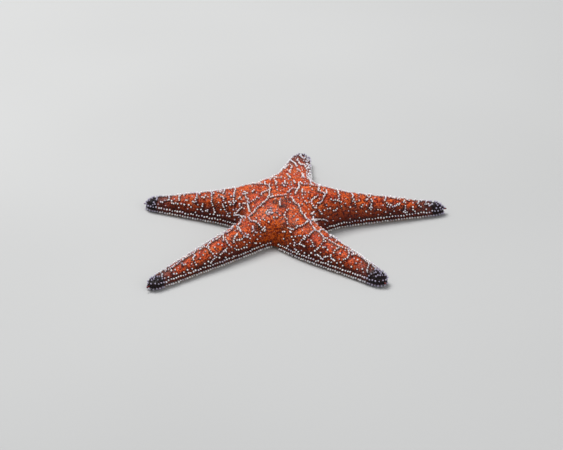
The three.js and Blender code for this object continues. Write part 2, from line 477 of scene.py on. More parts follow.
    def on_disc(self, path: Array) -> Array:
        """Skin places from (bearing in degrees, radius) pairs on the disc.

        Args:
            path: The pairs.

        Returns:
            One place per pair.
        """
        turn = np.radians(path[:, 0])
        origins = np.stack([np.cos(turn) * path[:, 1], np.sin(turn) * path[:, 1]], axis=1)
        origins = np.column_stack([origins, np.full(len(path), self.section.margin_level + 4)])
        return self.cast(origins, UP, self.skin, 45.0)

    def owner(self, points: Array) -> Array:
        """Index of the arm that each point lies on, or DISC.

        Args:
            points: Places in the body frame.

        Returns:
            One index per place.
        """
        disc_reach = 37.0
        flat = points[:, :2] / np.maximum(np.linalg.norm(points[:, :2], axis=1), 1e-6)[:, None]
        facing = np.stack([flat @ arm.along[:2] for arm in ARMS])
        best = facing.argmax(axis=0)
        return np.where(np.hypot(points[:, 0], points[:, 1]) < disc_reach, DISC, best)

    def unrolled(self, points: Array, owner: int) -> Array:
        """Places of skin points on an unwrap of an arm, rolled out flat, or of the disc.

        Args:
            points: Places on the skin.
            owner: Index of the arm, or DISC.

        Returns:
            Map coordinates, from 0 to 1 on both axes.
        """
        edge = 0.02
        if owner == DISC:
            unit = 0.5 + points[:, :2] / 84.0
        else:
            arm = ARMS[owner]
            distance, side = arm.local(points)
            level = self.section.margin_level
            round_part = np.arctan2(side, points[:, 2] - level) / (2 * math.pi) + 0.5
            unit = np.stack([(distance - 30) / (arm.length - 30), round_part], axis=1)
        return edge + (1 - 2 * edge) * np.clip(unit, 0, 1)


# ---- rows of spines

# Rows on the near side, each as the camera sees it: (column, row) in its 563 by 450 image.
DISC_ROWS: dict[str, Path] = {
    "arch_left": ((247.5, 216), (253.5, 211), (255.5, 207.5), (261.5, 203.5), (266.5, 198.5), (271, 196),
        (281.5, 194.5), (286.5, 194)),
    "arch_right": ((290.5, 196.5), (292.5, 197.5), (294, 201), (299, 204.5), (301.5, 211), (305, 214.5),
        (306, 217), (310, 219.5)),
    "right_base": ((289.5, 228.5), (293, 229), (297.5, 226), (303.5, 224), (310, 219.5), (317.5, 219.5),
        (325.5, 219.5), (328.5, 221.5)),
    "left_base": ((233.3, 215.5), (237.4, 215), (241.5, 216.5), (247.5, 216), (250.5, 219.4), (255, 220.8),
        (258.7, 223.3), (262.4, 227.4), (265.5, 229.6)),
    "front_upright": ((280.7, 198.5), (279.5, 200.5), (280.5, 204.5)),
    "right_spur": ((314.5, 219), (314.5, 216.5)),
    "left_knot": ((263.8, 228.4), (265.6, 227.4), (265.6, 229.4), (264.4, 230.8), (262.4, 230)),
    "right_knot": ((289, 227.8), (290.6, 229.4), (288.8, 231), (291, 231.6)),
    "trunk_fork": ((264.5, 181.2), (264.6, 183), (266.2, 184.2), (269.6, 183.3)),
    "trunk": ((270, 182.8), (268.7, 185), (270.3, 187.4), (269.6, 189.4), (269.4, 193.7), (267.8, 196)),
    "top_left": ((239.6, 182.6), (242.6, 183.7), (249.4, 182.4), (257.8, 182.8), (264.6, 183)),
    "top_arc": ((270.1, 177.8), (273, 176.5), (277.1, 176.7), (281.4, 176.3)),
    "top_hook": ((302, 189), (302.5, 191), (305, 191.5)),
    "top_wave": ((288.5, 191.5), (289.5, 189.5), (292.5, 187.5), (297.5, 188), (299, 186.5), (298.5, 182)),
    "top_drop": ((297.3, 188), (296.4, 191), (295.5, 192.5)),
    "top_right": ((300.5, 181.5), (303.5, 183.3), (309.5, 183.5), (314.5, 184.5), (320, 184.5)),
    "top_right_rise": ((311.5, 178.5), (310.5, 180.5), (311.5, 183.5)),
    "shoulder_step": ((319.5, 183.3), (318.6, 187), (318.5, 189.4), (320.5, 190.3), (326, 192),
        (326.4, 189.6)),
    "shoulder_bow": ((326, 192), (323.6, 197.4), (323, 200), (318.6, 202.6)),
    "shoulder_hook": ((317.5, 205.5), (316.4, 207.8), (314.5, 205.5), (311.6, 200.5), (314.3, 197.4),
        (318, 194.4)),
    "shoulder_low": ((312.5, 213.3), (314.8, 211.2)),
    "shoulder_end": ((320, 209.6), (322.3, 213.3)),
    "left_bar": ((261.5, 193.5), (262.4, 191.7), (268.7, 189.6)),
    "left_tick": ((252.6, 190.5), (253.5, 189.4)),
    "left_curl": ((244.2, 190.5), (246.5, 192.4), (243, 193.3)),
    "left_chain": ((245.5, 196), (247, 198.3), (246.5, 200.3), (248.3, 201.7), (246, 202.6), (247.4, 204.6),
        (248.7, 210)),
    "left_chain_arm": ((247, 203.3), (242.4, 202.4)),
    "left_upright": ((235, 187.4), (235.5, 189.2), (234.2, 190.5), (233, 197.8), (233.5, 202.4),
        (232.4, 204.6)),
    "left_rise": ((228.7, 202.4), (231.5, 203.5), (233.5, 202.4), (239.2, 196.2)),
    "left_stub": ((238.5, 203.7), (238.5, 205.5)),
    "left_slant": ((240.5, 207), (238.3, 209.2), (234.4, 214.2)),
    "left_drop": ((253, 225.8), (253.3, 228.3), (255.5, 232.4)),
    "left_under": ((240.5, 221.5), (236.7, 225.3)),
    "left_shelf": ((250.8, 200.5), (255, 198.7), (256.4, 196.7)),
    "top_tick_1": ((275.5, 180), (276.4, 183.7)),
    "top_tick_2": ((282.3, 183.3), (284.5, 185)),
    "top_tick_3": ((284.8, 180.3), (284.5, 182.4), (287.3, 183)),
    "top_tick_4": ((293.6, 180), (294.8, 182)),
    "rim_1": ((242.3, 179.6), (245.4, 178.3)),
    "rim_2": ((251.6, 176.7), (251.7, 178.3)),
    "rim_3": ((256.4, 174.8), (260.4, 176.3), (265.6, 175.4)),
    "rim_4": ((269.5, 174), (272.5, 171.1), (274.5, 171.9)),
    "rim_5": ((311.7, 178.3), (314.5, 178.7)),
    "rim_6": ((320.2, 179.5), (321.7, 180.7), (322.7, 182.3)),
}

ARM_ROWS: dict[str, dict[str, Path]] = {
    "right_back": {
        "crest_1": ((319, 183.3), (327.6, 182.6), (333, 184.3), (338.4, 186.7), (342.3, 190), (348, 190.7),
            (351.7, 191.7)),
        "crest_2": ((359, 193), (360.4, 191.3), (364, 192.4), (369.3, 196.3)),
        "crest_curl": ((369.7, 193), (369.5, 191.7), (371.5, 190.7), (372.6, 191.7)),
        "crest_3": ((378, 194.3), (389, 194.3), (391.6, 196.4), (399.7, 198.6)),
        "crest_bow": ((402.3, 197), (403.7, 196.2), (407.5, 199), (409.4, 199.5)),
        "crest_4": ((414.2, 199.5), (416.6, 198.3)),
        "crest_5": ((421.3, 199.5), (427.5, 198.6)),
        "crest_6": ((435.4, 199.3), (441.3, 200), (444.2, 203.8), (445.4, 206.4)),
        "drop_1": ((338.4, 186.7), (337.8, 188.5), (339.5, 192.6), (339.5, 197.8), (340.2, 200.4)),
        "drop_1_foot": ((331.5, 198.7), (331.5, 200.4), (335.4, 199.6), (340.2, 200.4)),
        "drop_2": ((351.7, 191.7), (354, 195.2), (352, 196.3), (353.7, 198.7), (352.8, 202.6), (355.4, 202),
            (355.6, 204.6)),
        "drop_3": ((370.6, 195.4), (370.8, 197.4), (372.6, 201.3), (371, 206.3)),
        "drop_3_side": ((366.3, 199.3), (370.6, 195.4)),
        "drop_3_ring": ((369.5, 207.8), (372.6, 207.8), (371.3, 209.6)),
        "drop_4": ((386.3, 194.5), (385.4, 198.6), (384.4, 200.2), (387.8, 203), (391.8, 205.5),
            (389.2, 207.6), (388.7, 205.5)),
        "drop_5": ((404.7, 200.2), (402.5, 202.4), (405.6, 202.6)),
        "drop_5_low": ((405.4, 205.7), (405.2, 208)),
        "drop_5_side": ((394.7, 206.4), (399, 204.3)),
        "drop_6": ((418.5, 201.4), (417.5, 202.6), (419.4, 205.5), (421, 206.7)),
        "drop_6_side": ((412.3, 207.6), (413.2, 209.5), (411.8, 211.2), (414.4, 211.4)),
        "drop_6_low": ((403.5, 212), (406.8, 212)),
        "drop_7": ((427.5, 198.6), (425.6, 202.4), (426.6, 203.8)),
        "drop_7_low": ((428.5, 203.8), (429.4, 205.5), (432.3, 204)),
        "tip_1": ((434.7, 201.4), (437.5, 205.2), (440, 207.6)),
        "tip_2": ((439.2, 202.6), (442.5, 203.8), (442.8, 205.5)),
        "tip_3": ((426.3, 209.5), (424.4, 211)),
    },
    "back": {
        "left_1": ((281.5, 168.3), (281.3, 170), (280, 171.4)),
        "bar_1": ((283.5, 167.3), (285, 167.7), (288, 164.5), (290.3, 164)),
        "bar_2": ((290.3, 160.3), (292.7, 161.3), (294.7, 162.7), (297, 165.7)),
        "bar_3": ((299.7, 162.7), (300.7, 163.7), (304.5, 164.5), (306, 167), (309, 167.7)),
        "bar_4": ((288.3, 160), (290.7, 156.7), (294.7, 155.5), (298, 154.2)),
        "bar_5": ((300.7, 154.7), (301.7, 157.3), (304.5, 158.3), (308.5, 160.5)),
        "middle": ((297.3, 160.3), (298, 158.6)),
        "knot_1": ((292.3, 166.3), (291.3, 167.3)),
        "knot_2": ((297.3, 168.3), (300.3, 170.3)),
        "knot_3": ((290.5, 169.3), (289, 170.7), (290.3, 171.3)),
        "knot_4": ((286.7, 173.3), (287.9, 174.4)),
        "knot_5": ((289.7, 176), (290.3, 177)),
        "right_1": ((302.7, 172.7), (303.7, 176.3)),
        "right_2": ((310.3, 176.7), (311.7, 176.7)),
    },
    "left_back": {
        "tip_1": ((145.5, 197.5), (149.4, 195.4), (153.7, 194.9)),
        "tip_2": ((144.2, 200.3), (148.5, 200.7), (151.5, 196.5)),
        "tip_3": ((156.7, 193.8), (158.8, 193.8)),
        "bend_1": ((160.6, 195.3), (161.7, 193), (164.2, 192.4)),
        "bend_2": ((157.3, 198), (156.5, 199.3)),
        "bend_3": ((160.6, 201.5), (161.2, 203)),
        "drop_1": ((170.5, 193.3), (168.8, 196), (169, 198), (168, 199.8), (162.5, 200.4)),
        "drop_1_low": ((171.2, 200.7), (171.5, 203), (173.5, 203.8)),
        "drop_2": ((182.3, 192.3), (179.6, 195.2), (178.5, 197.6), (179, 199.8)),
        "drop_2_top": ((177.3, 191.8), (176.5, 193)),
        "drop_2_low": ((175.8, 202.8), (177.3, 203.6)),
        "drop_2_end": ((181, 203.8), (184, 205.3)),
        "pair": ((185.8, 199.2), (187.3, 199.9)),
        "crest_1": ((185.4, 190.3), (187.5, 191.5), (190.8, 190.9), (196.3, 191.5)),
        "drop_3": ((196.3, 191.5), (196.7, 193.4), (196.3, 197.6), (195.3, 199.5)),
        "drop_3_ring": ((194.5, 200), (192.6, 201.3), (193.8, 202.4), (195.8, 201.6)),
        "crest_2": ((197, 194.6), (199.9, 192.6), (201.7, 188.4), (204.5, 189.9), (210.3, 188.8)),
        "spot": ((205.3, 194.9), (204.2, 197.2), (201.8, 196.5)),
        "drop_4": ((202.4, 204), (201.8, 206.5), (201.3, 209.3), (202.2, 211.8)),
        "drop_4_low": ((205.5, 210.7), (207.2, 211.5)),
        "drop_5": ((210.3, 188.8), (211.5, 193.8), (210.5, 196.8), (211.5, 198.4), (210.5, 202.6),
            (212.6, 204.7), (212.4, 206.5), (214.5, 211.8), (213.8, 214.3)),
        "crest_3": ((215.5, 188.6), (219.9, 186.8), (224.5, 188.6)),
        "crest_ring": ((218.8, 190.3), (220, 189.3), (221.5, 190), (220.3, 191)),
        "drop_6": ((225.9, 187.2), (223.6, 190.3), (222.8, 193.8), (220.7, 195.9), (223.2, 196.7),
            (222.8, 200.3), (223.4, 201.7), (221.5, 205.3), (223.6, 207.8), (226.8, 213.4), (226.5, 215.7)),
        "drop_6_link": ((223.4, 201.7), (226.5, 202.6), (230.3, 201.5)),
        "crest_4": ((228.4, 185.3), (230.3, 184.3), (233.4, 185.3), (235, 187.4)),
    },
    "left_front": {
        "crest": ((233, 226.8), (227.2, 231.6), (223.4, 232.4), (218.6, 237.4), (213.4, 240),
            (208.4, 243.5), (208.4, 246.6), (202.6, 246.6), (200.5, 248.7), (196, 249.5), (192.8, 252.8),
            (188.8, 255.2), (181.2, 260.2), (173.2, 266), (168.8, 269.2), (162.6, 269.8), (158, 271.4),
            (155, 274.8), (152.4, 274.2), (147.6, 277.8)),
        "far_1": ((233.5, 226.7), (230, 225.3), (225.3, 225.5), (218.4, 231.6), (214.5, 235.3),
            (210, 236.4), (205.5, 241.4), (198.4, 246.6), (192.5, 248.8), (187.2, 252)),
        "far_2": ((184.6, 257.4), (177.6, 258), (169.6, 264.8), (166.2, 267)),
        "branch": ((231, 228.5), (227.8, 231.5)),
        "drop_1": ((236.5, 225.3), (239.6, 227.8), (241.5, 231.4), (245.9, 236.6), (247.6, 235.3)),
        "drop_1_twin": ((237.5, 228.7), (240.5, 230.5)),
        "drop_1_knot": ((245.6, 233.6), (246, 236.6), (244.4, 237.4)),
        "drop_2_top": ((223.4, 232.4), (223.4, 237), (223.4, 240.3)),
        "drop_2": ((225.5, 237.4), (226, 240), (229.7, 245.3), (233.4, 248.3), (238.6, 250)),
        "drop_3": ((208.4, 246.6), (210, 250), (213.4, 254.5), (216.3, 257.4), (213.2, 259.7),
            (210.5, 262.8)),
        "link_1": ((227.2, 248.7), (222.4, 253.3), (220.5, 254.3)),
        "drop_4": ((192.8, 252.8), (194.4, 255.2), (193.2, 257), (194.6, 261), (196.4, 264.4)),
        "drop_5": ((181.8, 263.2), (184.2, 265), (186, 264.6)),
        "drop_6": ((169.8, 269.5), (174, 273.2)),
        "drop_7": ((161.2, 272.8), (162.2, 274.6), (161.6, 278.8)),
        "tip": ((155, 274.8), (154.2, 278.4), (152, 280.2)),
        "cell_1": ((237.4, 233.7), (234.5, 238.5), (234.3, 242.4)),
        "cell_2": ((237.4, 240.5), (241.8, 239.3)),
    },
    "right_front": {
        "crest": ((310, 219.5), (311.5, 223.6), (314.3, 227.3), (320, 232.3), (325.5, 237.5),
            (332.6, 241.3), (339.7, 245.7), (348, 248.6), (354, 253), (362, 256.8), (366.8, 261.2),
            (372, 264.5), (378, 270), (382.4, 275.2)),
        "far": ((318, 231), (322.2, 228.8), (329, 229.8), (333.4, 235), (340.3, 239.4), (346, 244.6),
            (353.2, 248.4), (358.8, 253.4), (364, 255.2), (370.8, 260.4), (378, 265.6), (384, 271.2),
            (387.2, 275.2)),
        "rung_1": ((331.8, 234.2), (330, 235.7)),
        "rung_2": ((336.8, 238.8), (334.5, 241.7)),
        "drop_1": ((315.3, 228.6), (311.5, 231.5), (308.4, 235.5), (304.5, 235.5), (303.6, 238.2),
            (299.3, 243.4), (301.3, 244.8), (304.5, 246.5)),
        "drop_2": ((311, 240.3), (312.4, 244), (313.6, 246.3)),
        "drop_3_top": ((325.3, 236.7), (323.8, 238.6), (323.2, 240.7)),
        "drop_3": ((327.2, 239.2), (322.4, 242.3), (319, 247), (314.7, 250.7)),
        "drop_3_side": ((320.7, 247.3), (324.5, 247.3)),
        "drop_4": ((338.6, 247.3), (336, 248.6), (333.6, 251.5), (333.4, 254), (329.7, 256.3), (333, 259),
            (334.3, 261)),
        "link": ((315, 254.8), (319.5, 255.5), (322, 259.4), (324.7, 257.5), (329.7, 256.3)),
        "drop_5": ((348, 248.6), (349.4, 251.2), (348.8, 255.6), (346, 258.6), (343.2, 259.6)),
        "drop_5_side": ((350, 255.2), (353.2, 253.8)),
        "drop_6": ((358, 259.6), (356.4, 259.6), (357.2, 260.8), (356, 262.8)),
        "drop_7": ((369.6, 263.4), (368.4, 267.2), (367.6, 269.6), (367.6, 272.2)),
        "drop_8": ((375.6, 267.4), (375.2, 270), (373.6, 269.6)),
        "tip": ((386, 277.2), (382.6, 278.6), (384.4, 283.4)),
    },
}

# Rows whose spines stand further apart.
LOOSE_ROWS: dict[str, Path] = {
    "front_ring": ((288.5, 208), (285, 212.5), (284.5, 215.5), (286.5, 219), (287.3, 225), (287.5, 227.5)),
    "right_armpit": ((291.6, 236.6), (293.8, 242.4), (294.6, 247), (295, 249.4)),
    "back_rim": ((310.7, 161.3), (312, 167), (311.5, 175)),
}

# Spines that stand alone, seen in the same way.
SINGLES: dict[str, Path] = {
    "disc": ((296.4, 218.5), (298.2, 218.5), (293.4, 215.3), (302.5, 203.3), (305, 200.5), (307, 202),
        (308.4, 197.6), (305.5, 193.5), (302.3, 194.2), (312.5, 188.5), (303.6, 197.1), (325.2, 209.6),
        (274.3, 178.3), (284.5, 177.4), (288.6, 178.5), (291.6, 184.4), (277, 186.5), (277.3, 189.4),
        (233.7, 219.6), (237.6, 217.4), (240.5, 219.5), (243.4, 219.5), (232.6, 209.6), (267.5, 177.4)),
    "front_dome": ((270.8, 207), (272.6, 212), (276.5, 211.5), (276.5, 216.5), (279.4, 214.2), (264.6, 219),
        (263.3, 217.6), (256.5, 217.4), (268.7, 221.5), (273.3, 216.5), (282.2, 232.2), (284.4, 231.8),
        (283.4, 239.2), (257.4, 232.4), (252.4, 231.6), (260.6, 236.4), (257.4, 239.4), (256.4, 243.4),
        (254.8, 243.2), (247.2, 244.4), (244.4, 247.6), (246.4, 247.2), (248.6, 237.8), (250.4, 238.8),
        (295, 236.6), (298.6, 235.4), (287.8, 246)),
    "right_back": ((359.5, 200.2), (362.6, 204.8), (361.5, 206.5), (366.3, 211.5), (356.7, 211.3),
        (350.4, 207.4), (342.3, 206.5), (345.6, 203.5), (337.6, 208.7), (336.5, 210.4), (334.3, 210.4),
        (330.8, 208.3), (327.3, 204.8), (377.6, 209.6), (380.6, 209.8), (385.4, 212.6), (390.4, 213.6),
        (394.4, 211.4), (431.6, 206.4), (435.6, 208.3), (432.5, 213.3), (439.4, 211), (444.4, 209.5)),
    "left_back": ((213.4, 192.4), (218.6, 194), (197.6, 205), (197.6, 209.5), (220.5, 209.9),
        (230.7, 195.3), (217.4, 215.5), (219.5, 215.5), (229.4, 216.5), (188.5, 205.3), (190.6, 207.2),
        (200.5, 215.3), (193.4, 213.4), (212.2, 217.4), (145.4, 203.6), (148.5, 204.9)),
    "left_front": ((149, 280.8), (146.4, 281.6), (152.6, 283), (157.2, 282.6), (164.6, 278.6),
        (168.4, 277.2), (175.4, 269.6), (176.6, 273.4), (187.6, 270), (184, 272), (188, 277),
        (190.6, 275.4), (190.4, 271.6), (192.4, 268.4), (195.4, 271.6), (198.4, 270), (218.4, 243.5),
        (214.7, 247), (205.5, 251.2), (203.2, 254.5), (200.5, 258.3), (208.4, 261.6), (204.7, 264),
        (219.5, 257.8), (226.8, 251.6), (225.7, 257.2), (232.4, 252.4), (230.5, 257.4), (236, 259),
        (239.5, 254.3), (242.6, 252.4), (246.5, 247.4), (244.3, 255.8)),
    "right_front": ((311.3, 253.2), (308.8, 255.5), (304.3, 253.2), (298.4, 251.5), (300.5, 235.5),
        (293.6, 242.5), (310.3, 246.5), (314.5, 258.6), (327.3, 249.4), (340, 253.2), (328.4, 261.5),
        (337, 263), (340.6, 262.2), (342.6, 265.6), (351.4, 266.7), (357.2, 269.4), (362.4, 269)),
}


# Dark blots on the front of the disc, partly dark skin and partly painted shadow, seen in the same way.
DARK_BLOTS_AND_SHADOWS: dict[str, tuple[float, float]] = {
    "left_of_upright": (276.0, 202.0),
    "right_of_upright": (284.4, 199.8),
    "by_arch": (287.7, 200.5),
    "under_upright": (283.6, 206.0),
    "front": (283.4, 227.6),
    "front_right": (293.4, 226.5),
    "front_left": (258.3, 228.0),
}

# For each arm, the angle where its hidden sides start and which sides they are: 1 is the left.
UNSEEN_SIDES: dict[str, tuple[float, tuple[int, ...]]] = {
    "right_back": (6.0, (1,)),
    "back": (34.0, (1, -1)),
    "left_back": (6.0, (-1,)),
    "left_front": (36.0, (-1,)),
    "right_front": (36.0, (1,)),
}


def curved(path: Path, steps: int = 10) -> Array:
    """A smooth line through the points of a path.

    Args:
        path: The points, two numbers each.
        steps: How many places each stretch gets.

    Returns:
        The places along the line.
    """
    points = np.array(path, float)
    ends = np.vstack([2 * points[0] - points[1], points, 2 * points[-1] - points[-2]])
    part = np.linspace(0, 1, steps, endpoint=False)[:, None]
    pieces = []
    for before, first, last, after in zip(ends, ends[1:], ends[2:], ends[3:]):
        bend = 2 * before - 5 * first + 4 * last - after
        twist = -before + 3 * first - 3 * last + after
        pieces.append(first + 0.5 * part * ((last - before) + part * (bend + part * twist)))
    return np.vstack(pieces + [points[-1:]])


@dataclass
class Roots:
    """Where small shapes stand on the skin, and how each one looks."""

    foot: Array
    lean: Array
    width: Array
    height: Array
    shade: Array

    def pick(self, chosen: Array) -> "Roots":
        """The roots that a mask or a list of indices chooses."""
        return Roots(*(values[chosen] for values in vars(self).values()))

    @staticmethod
    def join(parts: Iterable["Roots"]) -> "Roots":
        """Several sets of roots as one."""
        columns = zip(*(vars(part).values() for part in parts))
        return Roots(*(np.concatenate(column) for column in columns))


class Thinning:
    """Chooses places from many candidates so that none stand too close together."""

    def __init__(self, places: Array, blocked: Array) -> None:
        """Takes the candidate places, and which of them are ruled out from the start.

        Args:
            places: The candidates.
            blocked: Which are ruled out.
        """
        self.places = places
        self.free = ~blocked
        self.tree = tree_of(places)

    def clear(self, around: Array, gap: float) -> None:
        """Rules out all candidates within a gap of the given places.

        Args:
            around: The places.
            gap: Clearance from them.
        """
        for place in around:
            for _, index, _ in self.tree.find_range(place, gap):
                self.free[index] = False

    def take(self, order: Array, gaps: Array) -> Array:
        """Takes candidates in an order, each ruling out those within its own gap.

        Args:
            order: Candidate indices, the first choice first.
            gaps: Clearance that each candidate asks for.

        Returns:
            Indices of the candidates taken.
        """
        taken = []
        for index in order:
            if self.free[index]:
                taken.append(index)
                for _, other, _ in self.tree.find_range(self.places[index], gaps[index]):
                    self.free[other] = False
        return np.array(taken, int)


def tree_of(points: Array) -> KDTree:
    """A balanced search tree of points.

    Args:
        points: The points.

    Returns:
        The tree; it gives each point's index.
    """
    tree = KDTree(len(points))
    for index, point in enumerate(points):
        tree.insert(point, index)
    tree.balance()
    return tree


def nearest(tree: KDTree, points: Array) -> Array:
    """Distance from each point to the nearest one in a search tree."""
    return np.array([tree.find(point)[2] for point in points])


def units(rows: Array) -> Array:
    """Rows of numbers scaled to length one."""
    return rows / np.maximum(np.linalg.norm(rows, axis=1, keepdims=True), 1e-9)


def smooth_step(low: float, high: float, values: Array) -> Array:
    """Zero below one value and one above the other, with an easy curve between."""
    part = np.clip((values - low) / (high - low), 0, 1)
    return part * part * (3 - 2 * part)


def lumpy(places: Array, scale: float) -> Array:
    """Smooth noise, from -1 to 1, at each place."""
    return np.array([noise.noise(Vector(place) * scale) for place in places])


def run_of(line: Array) -> Array:
    """How far along a line each of its points lies."""
    return np.concatenate([[0], np.cumsum(np.linalg.norm(np.diff(line, axis=0), axis=1))])


def stopped(line: Array, stops: Array) -> Array:
    """The places at given distances along a line."""
    run = run_of(line)
    return np.stack([np.interp(stops, run, line[:, axis]) for axis in range(3)], axis=1)


@dataclass(frozen=True)
class Row:
    """One row of spines: its line on the skin, and how far apart the spines stand."""

    line: Array
    pitch: float


@dataclass(frozen=True)
class MarginRow:
    """One even row of spines round the body's edge; the spacing is in margin pitches."""

    level: float
    spacing: float
    sway: float
    tall: float
    dip: float


MARGIN_ROWS = (
    MarginRow(level=4.6, spacing=1.06, sway=0.20, tall=1.5, dip=-0.05),
    MarginRow(level=2.3, spacing=1.0, sway=0.08, tall=1.6, dip=-0.28),
)


@dataclass
class SpinePlan:
    """Lays out every spine on the upper side: rows, singles and the two marginal rows."""

    form: BodyForm
    view: View
    pitch: float = 1.5
    loose_pitch: float = 2.4
    head: float = 0.48
    tall: float = 1.6
    head_level: float = 1.1
    lowest: float = 5.7
    margin_pitch: float = 1.9
    margin_head: float = 0.5
    seed: int = 11
    rows: list[Row] = field(default_factory=list)
    margin_lines: list[Array] = field(default_factory=list)

    def __post_init__(self) -> None:
        """Starts the seeded draws."""
        self.draw = np.random.default_rng(self.seed)

    def trace(self) -> None:
        """Works out the line of every row, those out of the camera's sight among them."""
        for rows in (DISC_ROWS, *ARM_ROWS.values()):
            for path in rows.values():
                self._lay(path, self.pitch)
        for path in LOOSE_ROWS.values():
            self._lay(path, self.loose_pitch)
        for arm in ARMS:
            for path in self._unseen(arm) + self._round_tip(arm):
                self.rows.append(Row(self.form.on_arm(arm, curved(path)), self.pitch))

    def _lay(self, path: Path, pitch: float) -> None:
        """Lays a row seen by the camera on the skin, broken where it passes out of sight.

        Args:
            path: Its (column, row) pairs.
            pitch: How far apart its spines stand.
        """
        longest_step = 3.5
        line = self.form.seen(self.view, curved(path, 6), self.head_level)
        steps = np.linalg.norm(np.diff(line, axis=0), axis=1)
        for part in np.split(line, np.flatnonzero(steps > longest_step) + 1):
            if len(part) > 2:
                self.rows.append(Row(part, pitch))

    def _unseen(self, arm: Arm) -> list[Path]:
        """Cross rows down the sides of an arm that face away from the camera.

        Args:
            arm: The arm.

        Returns:
            Paths of (distance, angle) pairs, some with a short branch.
        """
        rows: list[Path] = []
        start, turns = UNSEEN_SIDES[arm.name]
        for turn in turns:
            for distance in np.arange(36.0, arm.length - 5, 8.0):
                angles = np.linspace(start, self.draw.uniform(52, 70), 5)
                sway = np.cumsum(self.draw.normal(0, 1.5, 5))
                path = tuple((distance + s, turn * a) for s, a in zip(sway, angles))
                rows.append(path)
                if self.draw.random() < 0.5:
                    root = path[2]
                    rows.append((root, (root[0] + 2.2, root[1]), (root[0] + 4.0, root[1] + 7)))
        return rows

    def _round_tip(self, arm: Arm) -> list[Path]:
        """Cross rows over an arm's dark end, as (distance, angle) pairs.

        Args:
            arm: The arm.

        Returns:
            Paths of (distance, angle) pairs.
        """
        angles = np.linspace(-62, 62, 7)
        rows: list[Path] = []
        for back in (4.5, 9.0):
            sway = np.cumsum(self.draw.normal(0, 0.6, len(angles)))
            rows.append(tuple((arm.length - back + s, a) for s, a in zip(sway, angles)))
        return rows

    def _strung(self, line: Array, pitch: float, sway: float) -> Array:
        """Places strung along a line at a pitch, swaying a little to either side.

        Args:
            line: The line, on the skin.
            pitch: How far apart they stand.
            sway: How far they may stray.

        Returns:
            The places, some of them with a partner beside them.
        """
        length = run_of(line)[-1]
        count = max(2, int(round(length / pitch)) + 1)
        stops = np.linspace(0, length, count)
        stops[1:-1] += self.draw.normal(0, 0.09 * pitch, count - 2)
        beads = stopped(line, stops)
        ahead = np.gradient(beads, axis=0)
        out = self.form.outward(beads, self.form.skin)
        aside = units(np.cross(out, ahead))
        wander = np.sin(stops / 3.1 + self.draw.uniform(0, 6)) * 0.5
        shift = sway * (wander + self.draw.normal(0, 0.6, count))
        doubled = self.draw.random(count) < 0.08
        partner = beads[doubled] + aside[doubled] * np.where(
            self.draw.random(doubled.sum()) < 0.5, -1, 1)[:, None] * 0.95
        return np.vstack([beads + aside * shift[:, None], partner])

    def _posies(self, line: Array) -> Array:
        """A few more spines huddled round one end of a row.

        Args:
            line: The row's line.

        Returns:
            From one to three places.
        """
        place = line[-1] if self.draw.random() < 0.7 else line[0]
        out = self.form.outward(place[None], self.form.skin)[0]
        first = np.cross(out, [0.3, 0.2, 0.9])
        first /= np.linalg.norm(first)
        second = np.cross(out, first)
        count = int(self.draw.integers(1, 4))
        turns = self.draw.uniform(0, 2 * math.pi) + np.arange(count) * 2.1
        return place + 1.05 * (np.cos(turns)[:, None] * first + np.sin(turns)[:, None] * second)

    def _dress(self, feet: Array, head: float, tall: float, splay: float) -> Roots:
        """Roots for spines at places on the skin.

        Args:
            feet: Places close to the skin.
            head: Radius of the head.
            tall: Height above the skin.
            splay: How far each leans at random.

        Returns:
            The roots, settled on the skin.
        """
        feet = self.form.settle(feet, self.form.skin, 3)
        out = self.form.outward(feet, self.form.skin)
        lean = units(out + self.draw.normal(0, splay, out.shape))
        count = len(feet)
        width = head * np.clip(self.draw.normal(1, 0.16, count), 0.7, 1.3)
        height = tall * np.clip(self.draw.normal(1, 0.10, count), 0.75, 1.3)
        return Roots(feet, lean, width, height, self.draw.random(count))

    def in_rows(self) -> Roots:
        """Spines of all the rows and of the singles that stand between them.

        Returns:
            Their roots, none too close together.
        """
        beads = [self._strung(row.line, row.pitch, 0.2) for row in self.rows]
        for row in self.rows:
            if self.draw.random() < 0.25:
                beads.append(self._posies(row.line))
        for path in SINGLES.values():
            beads.append(self.form.seen(self.view, np.array(path, float), self.head_level))
        roots = self._dress(np.vstack(beads), self.head, self.tall, 0.13)
        return self._apart(roots.pick(roots.foot[:, 2] > self.lowest), 1.08)

    def _apart(self, roots: Roots, gap: float) -> Roots:
        """Roots without those that would grow into an earlier one.

        Args:
            roots: The roots.
            gap: The least distance.

        Returns:
            The roots kept.
        """
        thinning = Thinning(roots.foot, np.zeros(len(roots.foot), bool))
        order = np.arange(len(roots.foot))
        return roots.pick(np.sort(thinning.take(order, np.full(len(order), gap))))

    def round_margin(self, level: float) -> list[Array]:
        """Lines round each arm, from armpit to armpit, at a level above the floor.

        Args:
            level: Height above the floor.

        Returns:
            One line on the skin per arm.
        """
        lines = []
        fan_start = 7.0
        for index, arm in enumerate(ARMS):
            stations = np.arange(12.0, arm.length - fan_start, 0.8)
            sides = []
            for turn, step in ((1, 1), (-1, -1)):
                other = ARMS[(index + step) % len(ARMS)]
                origins = arm.middle(stations, level)
                ways = np.tile(arm.across * turn, (len(stations), 1))
                ends = self.form.cast(origins, ways, self.form.skin, 40.0)
                kept = (ends @ arm.along) > (ends @ other.along)
                kept &= np.hypot(ends[:, 0], ends[:, 1]) < arm.length
                first = int(np.argmax(kept))
                sides.append(ends[first:])
            turns = np.radians(np.linspace(86, -86, 30))
            ways = np.sin(turns)[:, None] * arm.across + np.cos(turns)[:, None] * arm.along
            origins = arm.middle(np.full(len(turns), arm.length - fan_start), level)
            fan = self.form.cast(origins, ways, self.form.skin, 20.0)
            lines.append(np.vstack([sides[0], fan, sides[1][::-1]]))
        return lines

